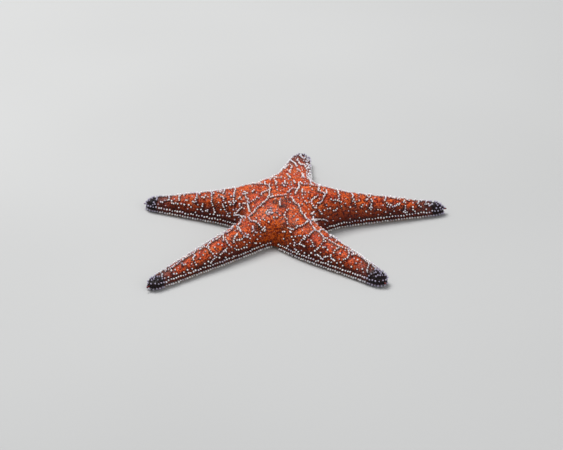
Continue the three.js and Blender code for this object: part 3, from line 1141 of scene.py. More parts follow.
    def on_margins(self) -> list[Roots]:
        """The two marginal rows: one on the edge, one splayed down to the floor.

        Returns:
            A set of roots per arm and row.
        """
        sets = []
        for row in MARGIN_ROWS:
            for line in self.round_margin(row.level):
                self.margin_lines.append(line)
                beads = self._even(line, self.margin_pitch * row.spacing, row.sway)
                roots = self._dress(beads, self.margin_head, row.tall, 0.05)
                roots.lean = units(roots.lean + [0, 0, row.dip])
                sets.append(roots)
        return sets

    def _even(self, line: Array, pitch: float, sway: float) -> Array:
        """Places spaced evenly along a line, with a small seeded sway up and down.

        Args:
            line: The line.
            pitch: How far apart they stand.
            sway: How far they stray up and down.

        Returns:
            The places.
        """
        stops = np.arange(pitch / 2, run_of(line)[-1], pitch)
        beads = stopped(line, stops + self.draw.normal(0, 0.05 * pitch, len(stops)))
        beads[:, 2] += self.draw.normal(0, sway, len(beads))
        return beads


# ---- making meshes


class Workshop:
    """Turns shapes made in millimetres in the body frame into pieces of the model."""

    def __init__(self, centre: Vector) -> None:
        """Takes the place of the body's centre in the row frame, in metres."""
        self.centre = centre

    def piece(self, name: str, mesh: Mesh, finish: Material,
              slot: str) -> bpy.types.Object:
        """A finished piece from a mesh in millimetres.

        Args:
            name: Name of the piece.
            mesh: Its mesh, in the body frame.
            finish: Its material.
            slot: Name of a material slot; not used.

        Returns:
            The object, in metres in the row frame, riding on the body.
        """
        places = places_of(mesh).astype(np.float32) * METRES
        set_places(mesh, places + np.array(self.centre, np.float32))
        mesh.materials.clear()
        mesh.materials.append(finish)
        made = linked(name, mesh)
        made.data.name = name
        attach(made, "root")
        LOG.info("%s: %d faces", name, len(mesh.polygons))
        return made


def linked(name: str, data: bpy.types.ID) -> bpy.types.Object:
    """A new object in the scene that holds some data.

    Args:
        name: Its name.
        data: A mesh, a camera or a light.

    Returns:
        The object.
    """
    made = bpy.data.objects.new(name, data)
    bpy.context.scene.collection.objects.link(made)
    return made


def object_from(name: str, shape: bmesh.types.BMesh) -> bpy.types.Object:
    """A linked object holding a bmesh, which is freed.

    Args:
        name: Its name.
        shape: The bmesh, which is freed.

    Returns:
        The object.
    """
    for face in shape.faces:
        face.smooth = True
    mesh = bpy.data.meshes.new(name)
    shape.to_mesh(mesh)
    shape.free()
    return linked(name, mesh)


def applied(source: bpy.types.Object) -> Mesh:
    """The mesh of an object with its modifiers applied; the object is removed.

    Args:
        source: The object.

    Returns:
        The mesh.
    """
    bpy.context.view_layer.update()
    depsgraph = bpy.context.evaluated_depsgraph_get()
    mesh = bpy.data.meshes.new_from_object(
        source.evaluated_get(depsgraph), preserve_all_data_layers=True, depsgraph=depsgraph)
    bpy.data.objects.remove(source, do_unlink=True)
    return mesh


def give_values(mesh: Mesh, name: str, values: Array) -> None:
    """Stores a number, or a row of three, for each vertex under a name.

    Args:
        mesh: The mesh.
        name: The name.
        values: One number or row per vertex.
    """
    values = np.asarray(values, np.float32)
    kind, field_name = ("FLOAT", "value") if values.ndim == 1 else ("FLOAT_VECTOR", "vector")
    layer = mesh.attributes.new(name, kind, "POINT")
    layer.data.foreach_set(field_name, values.ravel())


def places_of(mesh: Mesh) -> Array:
    """The vertices of a mesh as rows of three numbers.

    Args:
        mesh: The mesh.

    Returns:
        One place per vertex.
    """
    places = np.empty(len(mesh.vertices) * 3, np.float32)
    mesh.vertices.foreach_get("co", places)
    return places.reshape(-1, 3).astype(float)


def set_places(mesh: Mesh, places: Array) -> None:
    """Moves the vertices of a mesh to new places."""
    mesh.vertices.foreach_set("co", places.astype(np.float32).ravel())
    mesh.update()


class Bench:
    """A node tree being laid out: adds nodes and joins their sockets."""

    def __init__(self, tree: bpy.types.NodeTree) -> None:
        """Takes the tree to work on."""
        self.tree = tree

    def add(self, kind: str, inputs: dict | None = None, **settings: object) -> bpy.types.Node:
        """A new node.

        Args:
            kind: Its type.
            inputs: Sockets or plain values for its inputs, by name or number.
            settings: Values of its own settings.

        Returns:
            The node.
        """
        node = self.tree.nodes.new(kind)
        for name, value in settings.items():
            setattr(node, name, value)
        for name, value in (inputs or {}).items():
            self.join(value, node.inputs[name])
        return node

    def join(self, value: object, socket: Socket) -> None:
        """Sends a socket, or a plain value, into an input.

        Args:
            value: The socket or value.
            socket: The input.
        """
        if isinstance(value, Socket):
            self.tree.links.new(value, socket)
        else:
            socket.default_value = value

    def math(self, operation: str, first: object, second: object = 0.0,
             clamp: bool = False) -> Socket:
        """Result of a Math node."""
        return self.add("ShaderNodeMath", {0: first, 1: second}, operation=operation,
                        use_clamp=clamp).outputs[0]

    def times(self, first: object, second: object, clamp: bool = False) -> Socket:
        """Two values multiplied."""
        return self.math("MULTIPLY", first, second, clamp)

    def mix(self, factor: object, first: object, second: object,
            blend: str = "MIX") -> Socket:
        """Two colours mixed by a factor.

        Args:
            factor: Socket or value from 0 to 1.
            first: Colour at 0.
            second: Colour at 1.
            blend: How the second is laid on the first.

        Returns:
            The mixed colour.
        """
        node = self.add(
            "ShaderNodeMix", {"Factor": factor}, data_type="RGBA", blend_type=blend)
        colours = [socket for socket in node.inputs if socket.type == "RGBA"]
        self.join(first, colours[0])
        self.join(second, colours[1])
        return next(socket for socket in node.outputs if socket.type == "RGBA")

    def span(self, value: object, low: float, high: float, into_low: float = 0.0,
             into_high: float = 1.0) -> Socket:
        """A value mapped from one range to another with an easy curve.

        Args:
            value: Socket or value.
            low: Start of its range.
            high: End of its range.
            into_low: What the start becomes.
            into_high: What the end becomes.

        Returns:
            The new value.
        """
        ends = {"From Min": low, "From Max": high, "To Min": into_low, "To Max": into_high}
        return self.add("ShaderNodeMapRange", {"Value": value} | ends,
                        interpolation_type="SMOOTHSTEP").outputs["Result"]

    def noise(self, place: object, scale: float, detail: float = 3.0,
              roughness: float = 0.55) -> Socket:
        """Grey noise at a scale, in features per metre."""
        sizes = {"Scale": scale, "Detail": detail, "Roughness": roughness}
        return self.add("ShaderNodeTexNoise", {"Vector": place} | sizes).outputs[0]

    def cells(self, place: object, scale: object, feature: str = "F1") -> bpy.types.Node:
        """A Voronoi node at a scale, in cells per metre."""
        return self.add(
            "ShaderNodeTexVoronoi", {"Vector": place, "Scale": scale}, feature=feature)

    def named(self, name: str) -> Socket:
        """A number that the mesh carries under a name."""
        return self.add("ShaderNodeAttribute", attribute_name=name).outputs["Fac"]

    def place(self) -> Socket:
        """The object's own coordinates."""
        return self.add("ShaderNodeTexCoord").outputs["Object"]


def node_group(name: str, kind: str, inputs: dict[str, str],
               outputs: dict[str, str]) -> bpy.types.NodeTree:
    """A node group with named inputs and outputs.

    Args:
        name: Its name.
        kind: Shader or Geometry.
        inputs: The kind of each input, by name.
        outputs: The kind of each output, by name.

    Returns:
        The group, with no nodes in it yet.
    """
    tree = bpy.data.node_groups.new(name, f"{kind}NodeTree")
    for way, sockets in (("INPUT", inputs), ("OUTPUT", outputs)):
        for title, sort in sockets.items():
            tree.interface.new_socket(name=title, in_out=way, socket_type=f"NodeSocket{sort}")
    return tree


class Planter:
    """Sets copies of one small shape on many roots and joins them into a single mesh."""

    PATCH = 0.0018

    def __init__(self) -> None:
        """Builds the node tree that does the planting."""
        self.tree = node_group("plant_on_roots", "Geometry",
                               {"Roots": "Geometry", "Shape": "Object"}, {"Coat": "Geometry"})
        self.bench = Bench(self.tree)
        given = self.bench.add("NodeGroupInput").outputs
        shape = self.bench.add("GeometryNodeObjectInfo", {"Object": given["Shape"]})
        turn = self.bench.add("FunctionNodeEulerToRotation", {0: self._named("turn")})
        plant = self.bench.add("GeometryNodeInstanceOnPoints", {
            "Points": given["Roots"], "Instance": shape.outputs["Geometry"],
            "Rotation": turn.outputs[0], "Scale": self._named("size")})
        solid = self.bench.add("GeometryNodeRealizeInstances", {0: plant.outputs[0]})
        patch = self.bench.add("ShaderNodeVectorMath", {
            0: self._named("patch"), 1: (self.PATCH,) * 3, 2: self._named("root_place"),
        }, operation="MULTIPLY_ADD")
        last = self.bench.add("GeometryNodeStoreNamedAttribute", {"Name": MAP_NAME},
                              data_type="FLOAT2", domain="CORNER")
        self.bench.join(solid.outputs[0], last.inputs["Geometry"])
        self.bench.join(patch.outputs[0], last.inputs["Value"])
        for name in ("turn", "size", "patch", "root_place"):
            last = self.bench.add("GeometryNodeRemoveAttribute",
                                  {"Name": name, "Geometry": last.outputs[0]})
        self.bench.add("NodeGroupOutput", {0: last.outputs[0]})

    def _named(self, name: str) -> Socket:
        """Output of a node that reads a vector stored under a name."""
        return self.bench.add("GeometryNodeInputNamedAttribute", {"Name": name},
                              data_type="FLOAT_VECTOR").outputs["Attribute"]

    def plant(self, shape: bpy.types.Object, roots: Roots, unwrap: Array,
              masks: dict[str, Array], draw: np.random.Generator) -> Mesh:
        """One mesh with a copy of the shape on every root.

        Args:
            shape: The small shape, a unit wide and a unit tall, standing on its origin.
            roots: Where the copies stand.
            unwrap: The roots' places on the bake's map.
            masks: Named numbers that each copy carries for its material.
            draw: Seeded draws for the turn of each copy about its own axis.

        Returns:
            The joined mesh, in millimetres.
        """
        count = len(roots.foot)
        points = bpy.data.meshes.new("roots")
        points.vertices.add(count)
        set_places(points, roots.foot)
        turns = np.empty((count, 3), np.float32)
        for index, lean in enumerate(roots.lean):
            spin = Quaternion((0, 0, 1), float(draw.uniform(0, 2 * math.pi)))
            turns[index] = (Vector(lean).to_track_quat("Z", "Y") @ spin).to_euler()
        sizes = np.stack([roots.width, roots.width, roots.height], axis=1)
        flat = np.column_stack([unwrap, np.zeros(count)])
        own = {"turn": turns, "size": sizes, "root_place": flat, "shade": roots.shade}
        for name, values in (own | masks).items():
            give_values(points, name, values)
        holder = linked("roots", points)
        modifier = holder.modifiers.new("plant", "NODES")
        modifier.node_group = self.tree
        modifier[self.tree.interface.items_tree["Shape"].identifier] = shape
        mesh = applied(holder)
        bpy.data.meshes.remove(points)
        return mesh


class Sprig(Enum):
    """The small shapes that grow on the skin."""

    BEAD = "bead"
    MARGIN = "margin_bead"
    PEG = "peg"
    PAPULA = "papula"
    TUBE_FOOT = "tube_foot"


@dataclass(frozen=True)
class SprigProfile:
    """Outline of a small turned shape: (radius, height) pairs from its foot to its top."""

    outline: Path
    sides: int
    white_from: float
    white_to: float


SPRIG_PROFILES: dict[Sprig, SprigProfile] = {
    Sprig.BEAD: SprigProfile(
        ((0.80, -0.35), (0.62, 0.25), (0.95, 0.55), (0.93, 0.80), (0.52, 0.98)), 8, 0.22, 0.46),
    Sprig.MARGIN: SprigProfile(
        ((0.85, -0.30), (0.68, 0.25), (0.98, 0.62), (0.90, 0.84), (0.48, 0.98)), 8, 0.16, 0.42),
    Sprig.PEG: SprigProfile(
        ((0.90, -0.20), (0.80, 0.30), (0.85, 0.70), (0.70, 0.92), (0.35, 0.99)), 7, 0.05, 0.6),
    Sprig.PAPULA: SprigProfile(
        ((1.00, -0.35), (0.92, 0.35), (0.55, 0.88)), 6, 0.2, 1.0),
    Sprig.TUBE_FOOT: SprigProfile(
        ((0.75, -0.08), (0.60, 0.15), (0.52, 0.55), (0.62, 0.82), (1.00, 0.95), (0.85, 1.0)),
        8, 0.7, 1.0),
}


def turned(outline: Path, steps: int) -> bmesh.types.BMesh:
    """An outline turned about the upright axis.

    Args:
        outline: (radius, height) pairs.
        steps: How many faces there are round the shape.

    Returns:
        The shape, open at both ends.
    """
    shape = bmesh.new()
    ring = [shape.verts.new((radius, 0.0, height)) for radius, height in outline]
    edges = [shape.edges.new(pair) for pair in zip(ring, ring[1:])]
    bmesh.ops.spin(
        shape, geom=ring + edges, cent=(0, 0, 0), axis=(0, 0, 1), angle=2 * math.pi,
        steps=steps, use_merge=True)
    bmesh.ops.remove_doubles(shape, verts=shape.verts, dist=1e-4)
    return shape


def capped(shape: bmesh.types.BMesh, rims: list) -> list:
    """Fills open rims with fans of faces, and returns the middle of each fan.

    Args:
        shape: The shape.
        rims: Edges of the rims.

    Returns:
        The middle vertices.
    """
    bmesh.ops.holes_fill(shape, edges=rims, sides=0)
    caps = [face for face in shape.faces if len(face.verts) > 4]
    return bmesh.ops.poke(shape, faces=caps)["verts"]


def sprig_shape(kind: Sprig) -> bpy.types.Object:
    """A small turned shape one unit in radius and one unit tall.

    Args:
        kind: Which of the small shapes.

    Returns:
        An object that the planter copies; its mesh carries the rise and the map patch.
    """
    profile = SPRIG_PROFILES[kind]
    shape = turned(profile.outline, profile.sides)
    top = profile.outline[-1]
    rim = [e for e in shape.edges if e.is_boundary and e.verts[0].co.z > top[1] - 1e-3]
    for vertex in capped(shape, rim):
        vertex.co.z = 1.0 if kind is not Sprig.TUBE_FOOT else 0.96
    bmesh.ops.recalc_face_normals(shape, faces=shape.faces)
    lowest = min(vertex.co.z for vertex in shape.verts)
    made = object_from(kind.value, shape)
    places = places_of(made.data)
    rise = smooth_step(profile.white_from, profile.white_to, places[:, 2])
    give_values(made.data, "rise", rise)
    radial = 1 - (places[:, 2] - lowest) / (1 - lowest)
    turn = np.arctan2(places[:, 1], places[:, 0])
    patch = np.stack([radial * np.cos(turn), radial * np.sin(turn), 0 * turn], axis=1)
    give_values(made.data, "patch", patch)
    made.hide_render = True
    return made


# ---- materials


def linear(red: int, green: int, blue: int) -> tuple[float, float, float, float]:
    """A screen colour, 0 to 255 each, as the linear colour that a shader takes.

    Args:
        red: Red.
        green: Green.
        blue: Blue.

    Returns:
        Red, green, blue and alpha.
    """
    parts = []
    for value in (red, green, blue):
        part = value / 255
        parts.append(part / 12.92 if part <= 0.04045 else ((part + 0.055) / 1.055) ** 2.4)
    return (*parts, 1.0)


@dataclass(frozen=True)
class BodyColours:
    """The animal's colours, which its skin and all that grows on it share. The flank and low colours are
    partly painted shade, the dark colour also serves for painted shadow, and the web colour is partly
    painted light.
    """

    bright: tuple = linear(255, 124, 48)
    deep: tuple = linear(222, 84, 30)
    # flank and low: red-brown sides, partly the animal's own colour and partly painted shade, darkest next
    # to the floor.
    flank: tuple = linear(180, 74, 18)
    low: tuple = linear(124, 42, 8)
    # web: golden orange of the front armpit, partly the animal's own colour and partly painted light.
    web: tuple = linear(220, 100, 16)
    fade: tuple = linear(132, 66, 54)
    end: tuple = linear(20, 15, 24)
    oral: tuple = linear(205, 150, 104)
    violet: tuple = linear(116, 66, 76)
    plum: tuple = linear(74, 30, 38)
    # dark: colour of the painted shadows at the spines' feet and beside the rows, and of the blots.
    dark: tuple = linear(30, 8, 8)
    crease: tuple = (0.36, 0.14, 0.13, 1.0)


class SharedEffects:
    """Node groups that more than one finish uses."""

    def __init__(self, colours: BodyColours) -> None:
        """Builds the groups from the animal's colours.

        Args:
            colours: The colours.
        """
        self.colours = colours
        self.body_colour = self._body_colour()
        self.grain = self._grain()

    def _body_colour(self) -> bpy.types.NodeTree:
        """The ground colour: orange above, red-brown on the flanks with painted shade that deepens near the
        floor, dark at the arms' ends.

        Returns:
            The group.
        """
        masks = {name: "Float" for name in ("Flank", "End", "Oral", "Web")}
        tree = node_group(
            "body_colour", "Shader", {"Place": "Vector"} | masks, {"Colour": "Color"})
        bench = Bench(tree)
        given = bench.add("NodeGroupInput")
        place = given.outputs["Place"]
        colours = self.colours
        mottle = bench.noise(place, 105.0, 4.0, 0.6)
        patchy = bench.span(mottle, 0.36, 0.66)
        top = bench.mix(patchy, colours.deep, colours.bright)
        broad = bench.noise(place, 46.0, 2.0, 0.5)
        # Painted shade: the flank mask turns the steep sides red-brown, then the low colour next to the
        # floor.
        flank = bench.math("ADD", given.outputs["Flank"], bench.span(broad, 0.3, 0.7, -0.14, 0.14))
        side = bench.mix(bench.span(flank, 0.25, 0.72), top, colours.flank)
        side = bench.mix(bench.span(flank, 0.70, 1.05), side, colours.low)
        # Partly painted light: the web mask lifts the flank shade in the front armpit to a lighter golden
        # orange.
        side = bench.mix(given.outputs["Web"], side, colours.web)
        side = self._spotted(bench, place, side)
        under = bench.mix(given.outputs["Oral"], side, colours.oral)
        ragged = bench.math(
            "ADD", given.outputs["End"], bench.span(mottle, 0.3, 0.7, -0.12, 0.12))
        whole = bench.mix(bench.span(ragged, 0.05, 0.45), under, colours.fade)
        whole = bench.mix(bench.span(ragged, 0.50, 0.90), whole, colours.end)
        bench.add("NodeGroupOutput", {"Colour": whole})
        return tree

    def _spotted(self, bench: Bench, place: Socket,
                 ground: Socket) -> Socket:
        """A ground colour with round plum and dark red spots about a millimetre wide.

        Args:
            bench: The group's bench.
            place: Coordinates.
            ground: The colour.

        Returns:
            The spotted colour.
        """
        strength = 0.9
        spots = bench.cells(place, 720.0).outputs
        pick = bench.add("ShaderNodeSeparateColor", {0: spots["Color"]}).outputs[0]
        round_part = bench.span(spots["Distance"], 0.62, 0.40)
        plum = bench.times(bench.span(pick, 0.68, 0.72), round_part)
        red = bench.times(bench.span(pick, 0.34, 0.30), round_part)
        colour = bench.mix(bench.times(plum, strength), ground, self.colours.plum)
        return bench.mix(bench.times(red, strength), colour, self.colours.crease, "MULTIPLY")

    def _grain(self) -> bpy.types.NodeTree:
        """Fine wet grain: a height and a tone that go with it.

        Returns:
            The group.
        """
        tree = node_group("wet_grain", "Shader", {"Place": "Vector", "Scale": "Float"},
                          {"Height": "Float", "Tone": "Float"})
        bench = Bench(tree)
        given = bench.add("NodeGroupInput").outputs
        fine = bench.noise(given["Place"], given["Scale"], 4.0, 0.5)
        pebbles = bench.cells(given["Place"], given["Scale"], "SMOOTH_F1").outputs["Distance"]
        height = bench.math("ADD", bench.times(fine, 0.6), bench.times(pebbles, -0.5))
        bench.add("NodeGroupOutput", {"Height": height, "Tone": fine})
        return tree


class Finish:
    """A material being made: its bench, its shader, and the shared effects."""

    def __init__(self, name: str, effects: SharedEffects, roughness: float) -> None:
        """Makes an empty material with one Principled shader.

        Args:
            name: The material's name.
            effects: The shared node groups.
            roughness: The shader's roughness.
        """
        self.material = bpy.data.materials.new(name)
        self.material.use_nodes = True
        self.bench = Bench(self.material.node_tree)
        self.effects = effects
        self.shader = next(
            node for node in self.material.node_tree.nodes if node.type == "BSDF_PRINCIPLED")
        self.shader.inputs["Roughness"].default_value = roughness
        self.shader.inputs["Specular IOR Level"].default_value = 0.2
        self.spot = self.bench.place()

    def ground(self, oral: bool = False) -> Socket:
        """The body's colour at each point, with the painted flank shade, from the masks that the mesh
        carries.

        Args:
            oral: Whether the mesh reaches under the body.

        Returns:
            The colour.
        """
        masks = ("Flank", "End", "Oral", "Web") if oral else ("Flank", "End", "Web")
        carried = {mask: self.bench.named(mask.lower()) for mask in masks}
        group = self.bench.add("ShaderNodeGroup", {"Place": self.spot} | carried,
                               node_tree=self.effects.body_colour)
        return group.outputs["Colour"]

    def grained(self, scale: float, strength: float, distance: float) -> Socket:
        """Wet grain as a bump on the shader's normal.

        Args:
            scale: Features per metre.
            strength: Strength of the bump.
            distance: Its height in metres.

        Returns:
            The grain's tone.
        """
        group = self.bench.add("ShaderNodeGroup", {"Place": self.spot, "Scale": scale},
                               node_tree=self.effects.grain)
        self.bump(group.outputs["Height"], strength, distance)
        return group.outputs["Tone"]

    def bump(self, height: Socket, strength: float, distance: float) -> None:
        """A bump of some height in metres on the shader's normal.

        Args:
            height: Socket of the relief.
            strength: Strength of the bump.
            distance: Its height in metres.
        """
        node = self.bench.add("ShaderNodeBump", {
            "Strength": strength, "Distance": distance, "Height": height})
        self.bench.join(node.outputs["Normal"], self.shader.inputs["Normal"])

    def colour(self, value: object) -> None:
        """Sends a colour to the shader."""
        self.bench.join(value, self.shader.inputs["Base Color"])

    def wet(self, coat: float, coat_roughness: float) -> None:
        """A thin wet coat over the finish."""
        self.shader.inputs["Coat Weight"].default_value = coat
        self.shader.inputs["Coat Roughness"].default_value = coat_roughness


@dataclass(frozen=True)
class SkinFinish:
    """Soft wet skin: orange, creased darker, with painted shadow round the feet of the spines and beside
    the rows.
    """

    speck_scale: float = 560.0
    crease_scale: float = 760.0
    grain_scale: float = 2600.0

    def make(self, effects: SharedEffects) -> Material:
        """The material of the skin.

        Args:
            effects: The shared node groups.

        Returns:
            The material.
        """
        finish = Finish("living_skin", effects, 0.5)
        bench = finish.bench
        colours = effects.colours
        colour = finish.ground(oral=True)
        open_skin = bench.math("SUBTRACT", 1.0, bench.named("oral"), clamp=True)
        fine = bench.noise(finish.spot, self.crease_scale, 4.0, 0.7)
        creased = bench.times(bench.span(fine, 0.56, 0.40), open_skin)
        colour = bench.mix(creased, colour, colours.crease, "MULTIPLY")
        specks = bench.cells(finish.spot, self.speck_scale).outputs["Distance"]
        upper = bench.math("SUBTRACT", open_skin, bench.named("flank"), clamp=True)
        fleck = bench.times(bench.span(specks, 0.30, 0.14), upper)
        colour = bench.mix(bench.times(fleck, 0.6), colour, colours.violet)
        # Painted shadow round the spines' feet and beside the rows.
        foot = bench.times(bench.named("foot"), 0.92, clamp=True)
        colour = bench.mix(foot, colour, colours.dark)
        # Blots: partly dark skin, partly painted shadow.
        blot = bench.times(bench.named("blot"), 0.85, clamp=True)
        finish.colour(bench.mix(blot, colour, colours.dark))
        tone = finish.grained(self.grain_scale, 0.6, 0.00025)
        rough = bench.span(tone, 0.35, 0.65, 0.40, 0.60)
        bench.join(rough, finish.shader.inputs["Roughness"])
        return finish.material


@dataclass(frozen=True)
class SpineFinish:
    """Blunt chalky spines: white heads on dark brown feet."""

    name: str
    head: tuple = linear(255, 254, 255)
    lilac: tuple = linear(222, 210, 226)
    dusk: tuple = linear(184, 176, 200)
    foot: tuple = linear(70, 26, 22)

    def make(self, effects: SharedEffects) -> Material:
        """The material of a set of spines.

        Args:
            effects: The shared node groups.

        Returns:
            The material.
        """
        finish = Finish(self.name, effects, 0.45)
        bench = finish.bench
        tint = bench.span(bench.named("shade"), 0.55, 1.0)
        head = bench.mix(tint, self.head, self.lilac)
        head = bench.mix(bench.span(bench.named("end"), 0.2, 1.0), head, self.dusk)
        finish.colour(bench.mix(bench.named("rise"), self.foot, head))
        finish.grained(3200.0, 0.35, 0.00012)
        return finish.material


@dataclass(frozen=True)
class PapulaFinish:
    """Soft gills: orange, some deep red, some pale, some violet-grey."""

    pale: tuple = linear(255, 168, 120)
    pink: tuple = linear(226, 190, 186)
    red: tuple = (0.55, 0.24, 0.22, 1.0)

    def make(self, effects: SharedEffects) -> Material:
        """The material of the gills.

        Args:
            effects: The shared node groups.

        Returns:
            The material.
        """
        finish = Finish("soft_gills", effects, 0.4)
        bench = finish.bench
        shade = bench.named("shade")
        # Gills keep the painted flank shade; no pale, pink or violet gills stand on the flanks or on the
        # dark arm ends.
        dim = bench.math("ADD", bench.named("flank"), bench.named("end"))
        lit = bench.math("SUBTRACT", 1.0, dim, clamp=True)
        colour = bench.mix(
            bench.span(shade, 0.34, 0.18), finish.ground(), self.red, "MULTIPLY")
        pale = bench.times(bench.span(shade, 0.50, 0.74), lit)
        colour = bench.mix(bench.times(pale, 0.45), colour, self.pale)
        pink = bench.times(bench.span(shade, 0.84, 0.87), lit)
        colour = bench.mix(bench.times(pink, 0.7), colour, self.pink)
        violet = bench.times(bench.span(shade, 0.91, 0.94), lit)
        finish.colour(bench.mix(
            bench.times(violet, 0.9), colour, effects.colours.violet))
        finish.grained(3000.0, 0.3, 0.0001)
        finish.wet(0.1, 0.2)
        return finish.material


@dataclass(frozen=True)
class TubeFootFinish:
    """Pale amber tube feet with lighter suckers."""

    stem: tuple = linear(214, 160, 104)
    ring: tuple = linear(188, 122, 70)
    sucker: tuple = linear(236, 214, 180)

    def make(self, effects: SharedEffects) -> Material:
        """The material of the tube feet.

        Args:
            effects: The shared node groups.

        Returns:
            The material.
        """
        finish = Finish("tube_feet_skin", effects, 0.35)
        bench = finish.bench
        rings = bench.noise(finish.spot, 900.0, 2.0)
        stem = bench.mix(bench.span(rings, 0.35, 0.65), self.stem, self.ring)
        finish.colour(bench.mix(bench.named("rise"), stem, self.sucker))
        finish.grained(2600.0, 0.4, 0.0001)
        finish.wet(0.3, 0.15)
        return finish.material


@dataclass(frozen=True)
class TwoToneFinish:
    """A finish that is one colour where it rises and darker in its hollows, as painted shade."""

    name: str
    roughness: float
    low: tuple
    high: tuple
    grain: tuple[float, float, float]
    coat: tuple[float, float] | None = None

    def make(self, effects: SharedEffects) -> Material:
        """The material.

        Args:
            effects: The shared node groups.

        Returns:
            The material, coloured by the rise that its mesh carries.
        """
        finish = Finish(self.name, effects, self.roughness)
        rise = finish.bench.named("rise")
        finish.colour(finish.bench.mix(rise, self.low, self.high))
        finish.grained(*self.grain)
        if self.coat:
            finish.wet(*self.coat)
        return finish.material


# The sieve plate's furrows and the lip's folds are painted darker, as shade.
CHALKY_PLATE = TwoToneFinish("sieve_plate", 0.55, linear(126, 84, 92), linear(236, 228, 234),
                             grain=(2400.0, 0.5, 0.00015))
MOUTH_SKIN = TwoToneFinish("mouth_skin", 0.4, linear(150, 70, 50), linear(222, 170, 128),
                           grain=(1800.0, 0.4, 0.0002), coat=(0.3, 0.2))


@dataclass(frozen=True)
class EyespotFinish:
    """A cushion of red eye cups."""

    red: tuple = linear(112, 18, 14)
    deep: tuple = linear(52, 6, 8)

    def make(self, effects: SharedEffects) -> Material:
        """The material of the eyespots.

        Args:
            effects: The shared node groups.

        Returns:
            The material.
        """
        finish = Finish("eye_cups", effects, 0.3)
        bench = finish.bench
        cups = bench.cells(finish.spot, 5200.0).outputs["Distance"]
        finish.colour(bench.mix(bench.span(cups, 0.2, 0.5), self.deep, self.red))
        finish.bump(cups, 0.5, 0.0001)
        finish.wet(0.5, 0.1)
        return finish.material


# ---- sub-assemblies


@dataclass
class Markings:
    """Numbers that the skin and everything on it carry for their colours."""

    form: BodyForm
    end_length: float = 14.0
    web_place: tuple[float, float, float] = (-2.0, -35.0, 10.0)
    web_reach: float = 12.0

    def masks(self, points: Array) -> dict[str, Array]:
        """How far each point is towards an arm's end, down a flank and under the body; the flank mask also
        sets painted shade, deeper near the floor.

        Args:
            points: Places on the skin.

        Returns:
            The masks end, flank, oral and web, from 0 to 1.
        """
        end = np.zeros(len(points))
        facing = np.stack([points @ arm.along for arm in ARMS]).argmax(axis=0)
        for index, arm in enumerate(ARMS):
            distance = arm.local(points)[0]
            tip = arm.length - self.end_length
            dark = 0.45 * smooth_step(arm.length - arm.fade, tip, distance)
            dark += 0.55 * smooth_step(tip, tip + 5.5, distance)
            end = np.where(facing == index, np.maximum(end, dark), end)
        out = self.form.outward(points, self.form.flesh)
        # Painted shade: steeper skin, and lower skin on the steep sides, counts further down the flank and
        # is painted darker.
        low = 1 - smooth_step(2.5, 12.0, points[:, 2])
        steep = 1 - smooth_step(0.25, 0.85, out[:, 2])
        flank = np.clip(0.72 * steep + 0.45 * steep * low, 0, 1)
        oral = smooth_step(0.35, 0.85, -self.form.outward(points, self.form.skin)[:, 2])
        oral *= 1 - smooth_step(6.0, 9.0, points[:, 2])
        # Web: a lighter golden patch round one place in the front armpit, partly painted light.
        away = np.linalg.norm(points - np.array(self.web_place), axis=1)
        web = np.exp(-((away / self.web_reach) ** 2)) * (1 - oral)
        return {"end": end, "flank": flank, "oral": oral, "web": web}


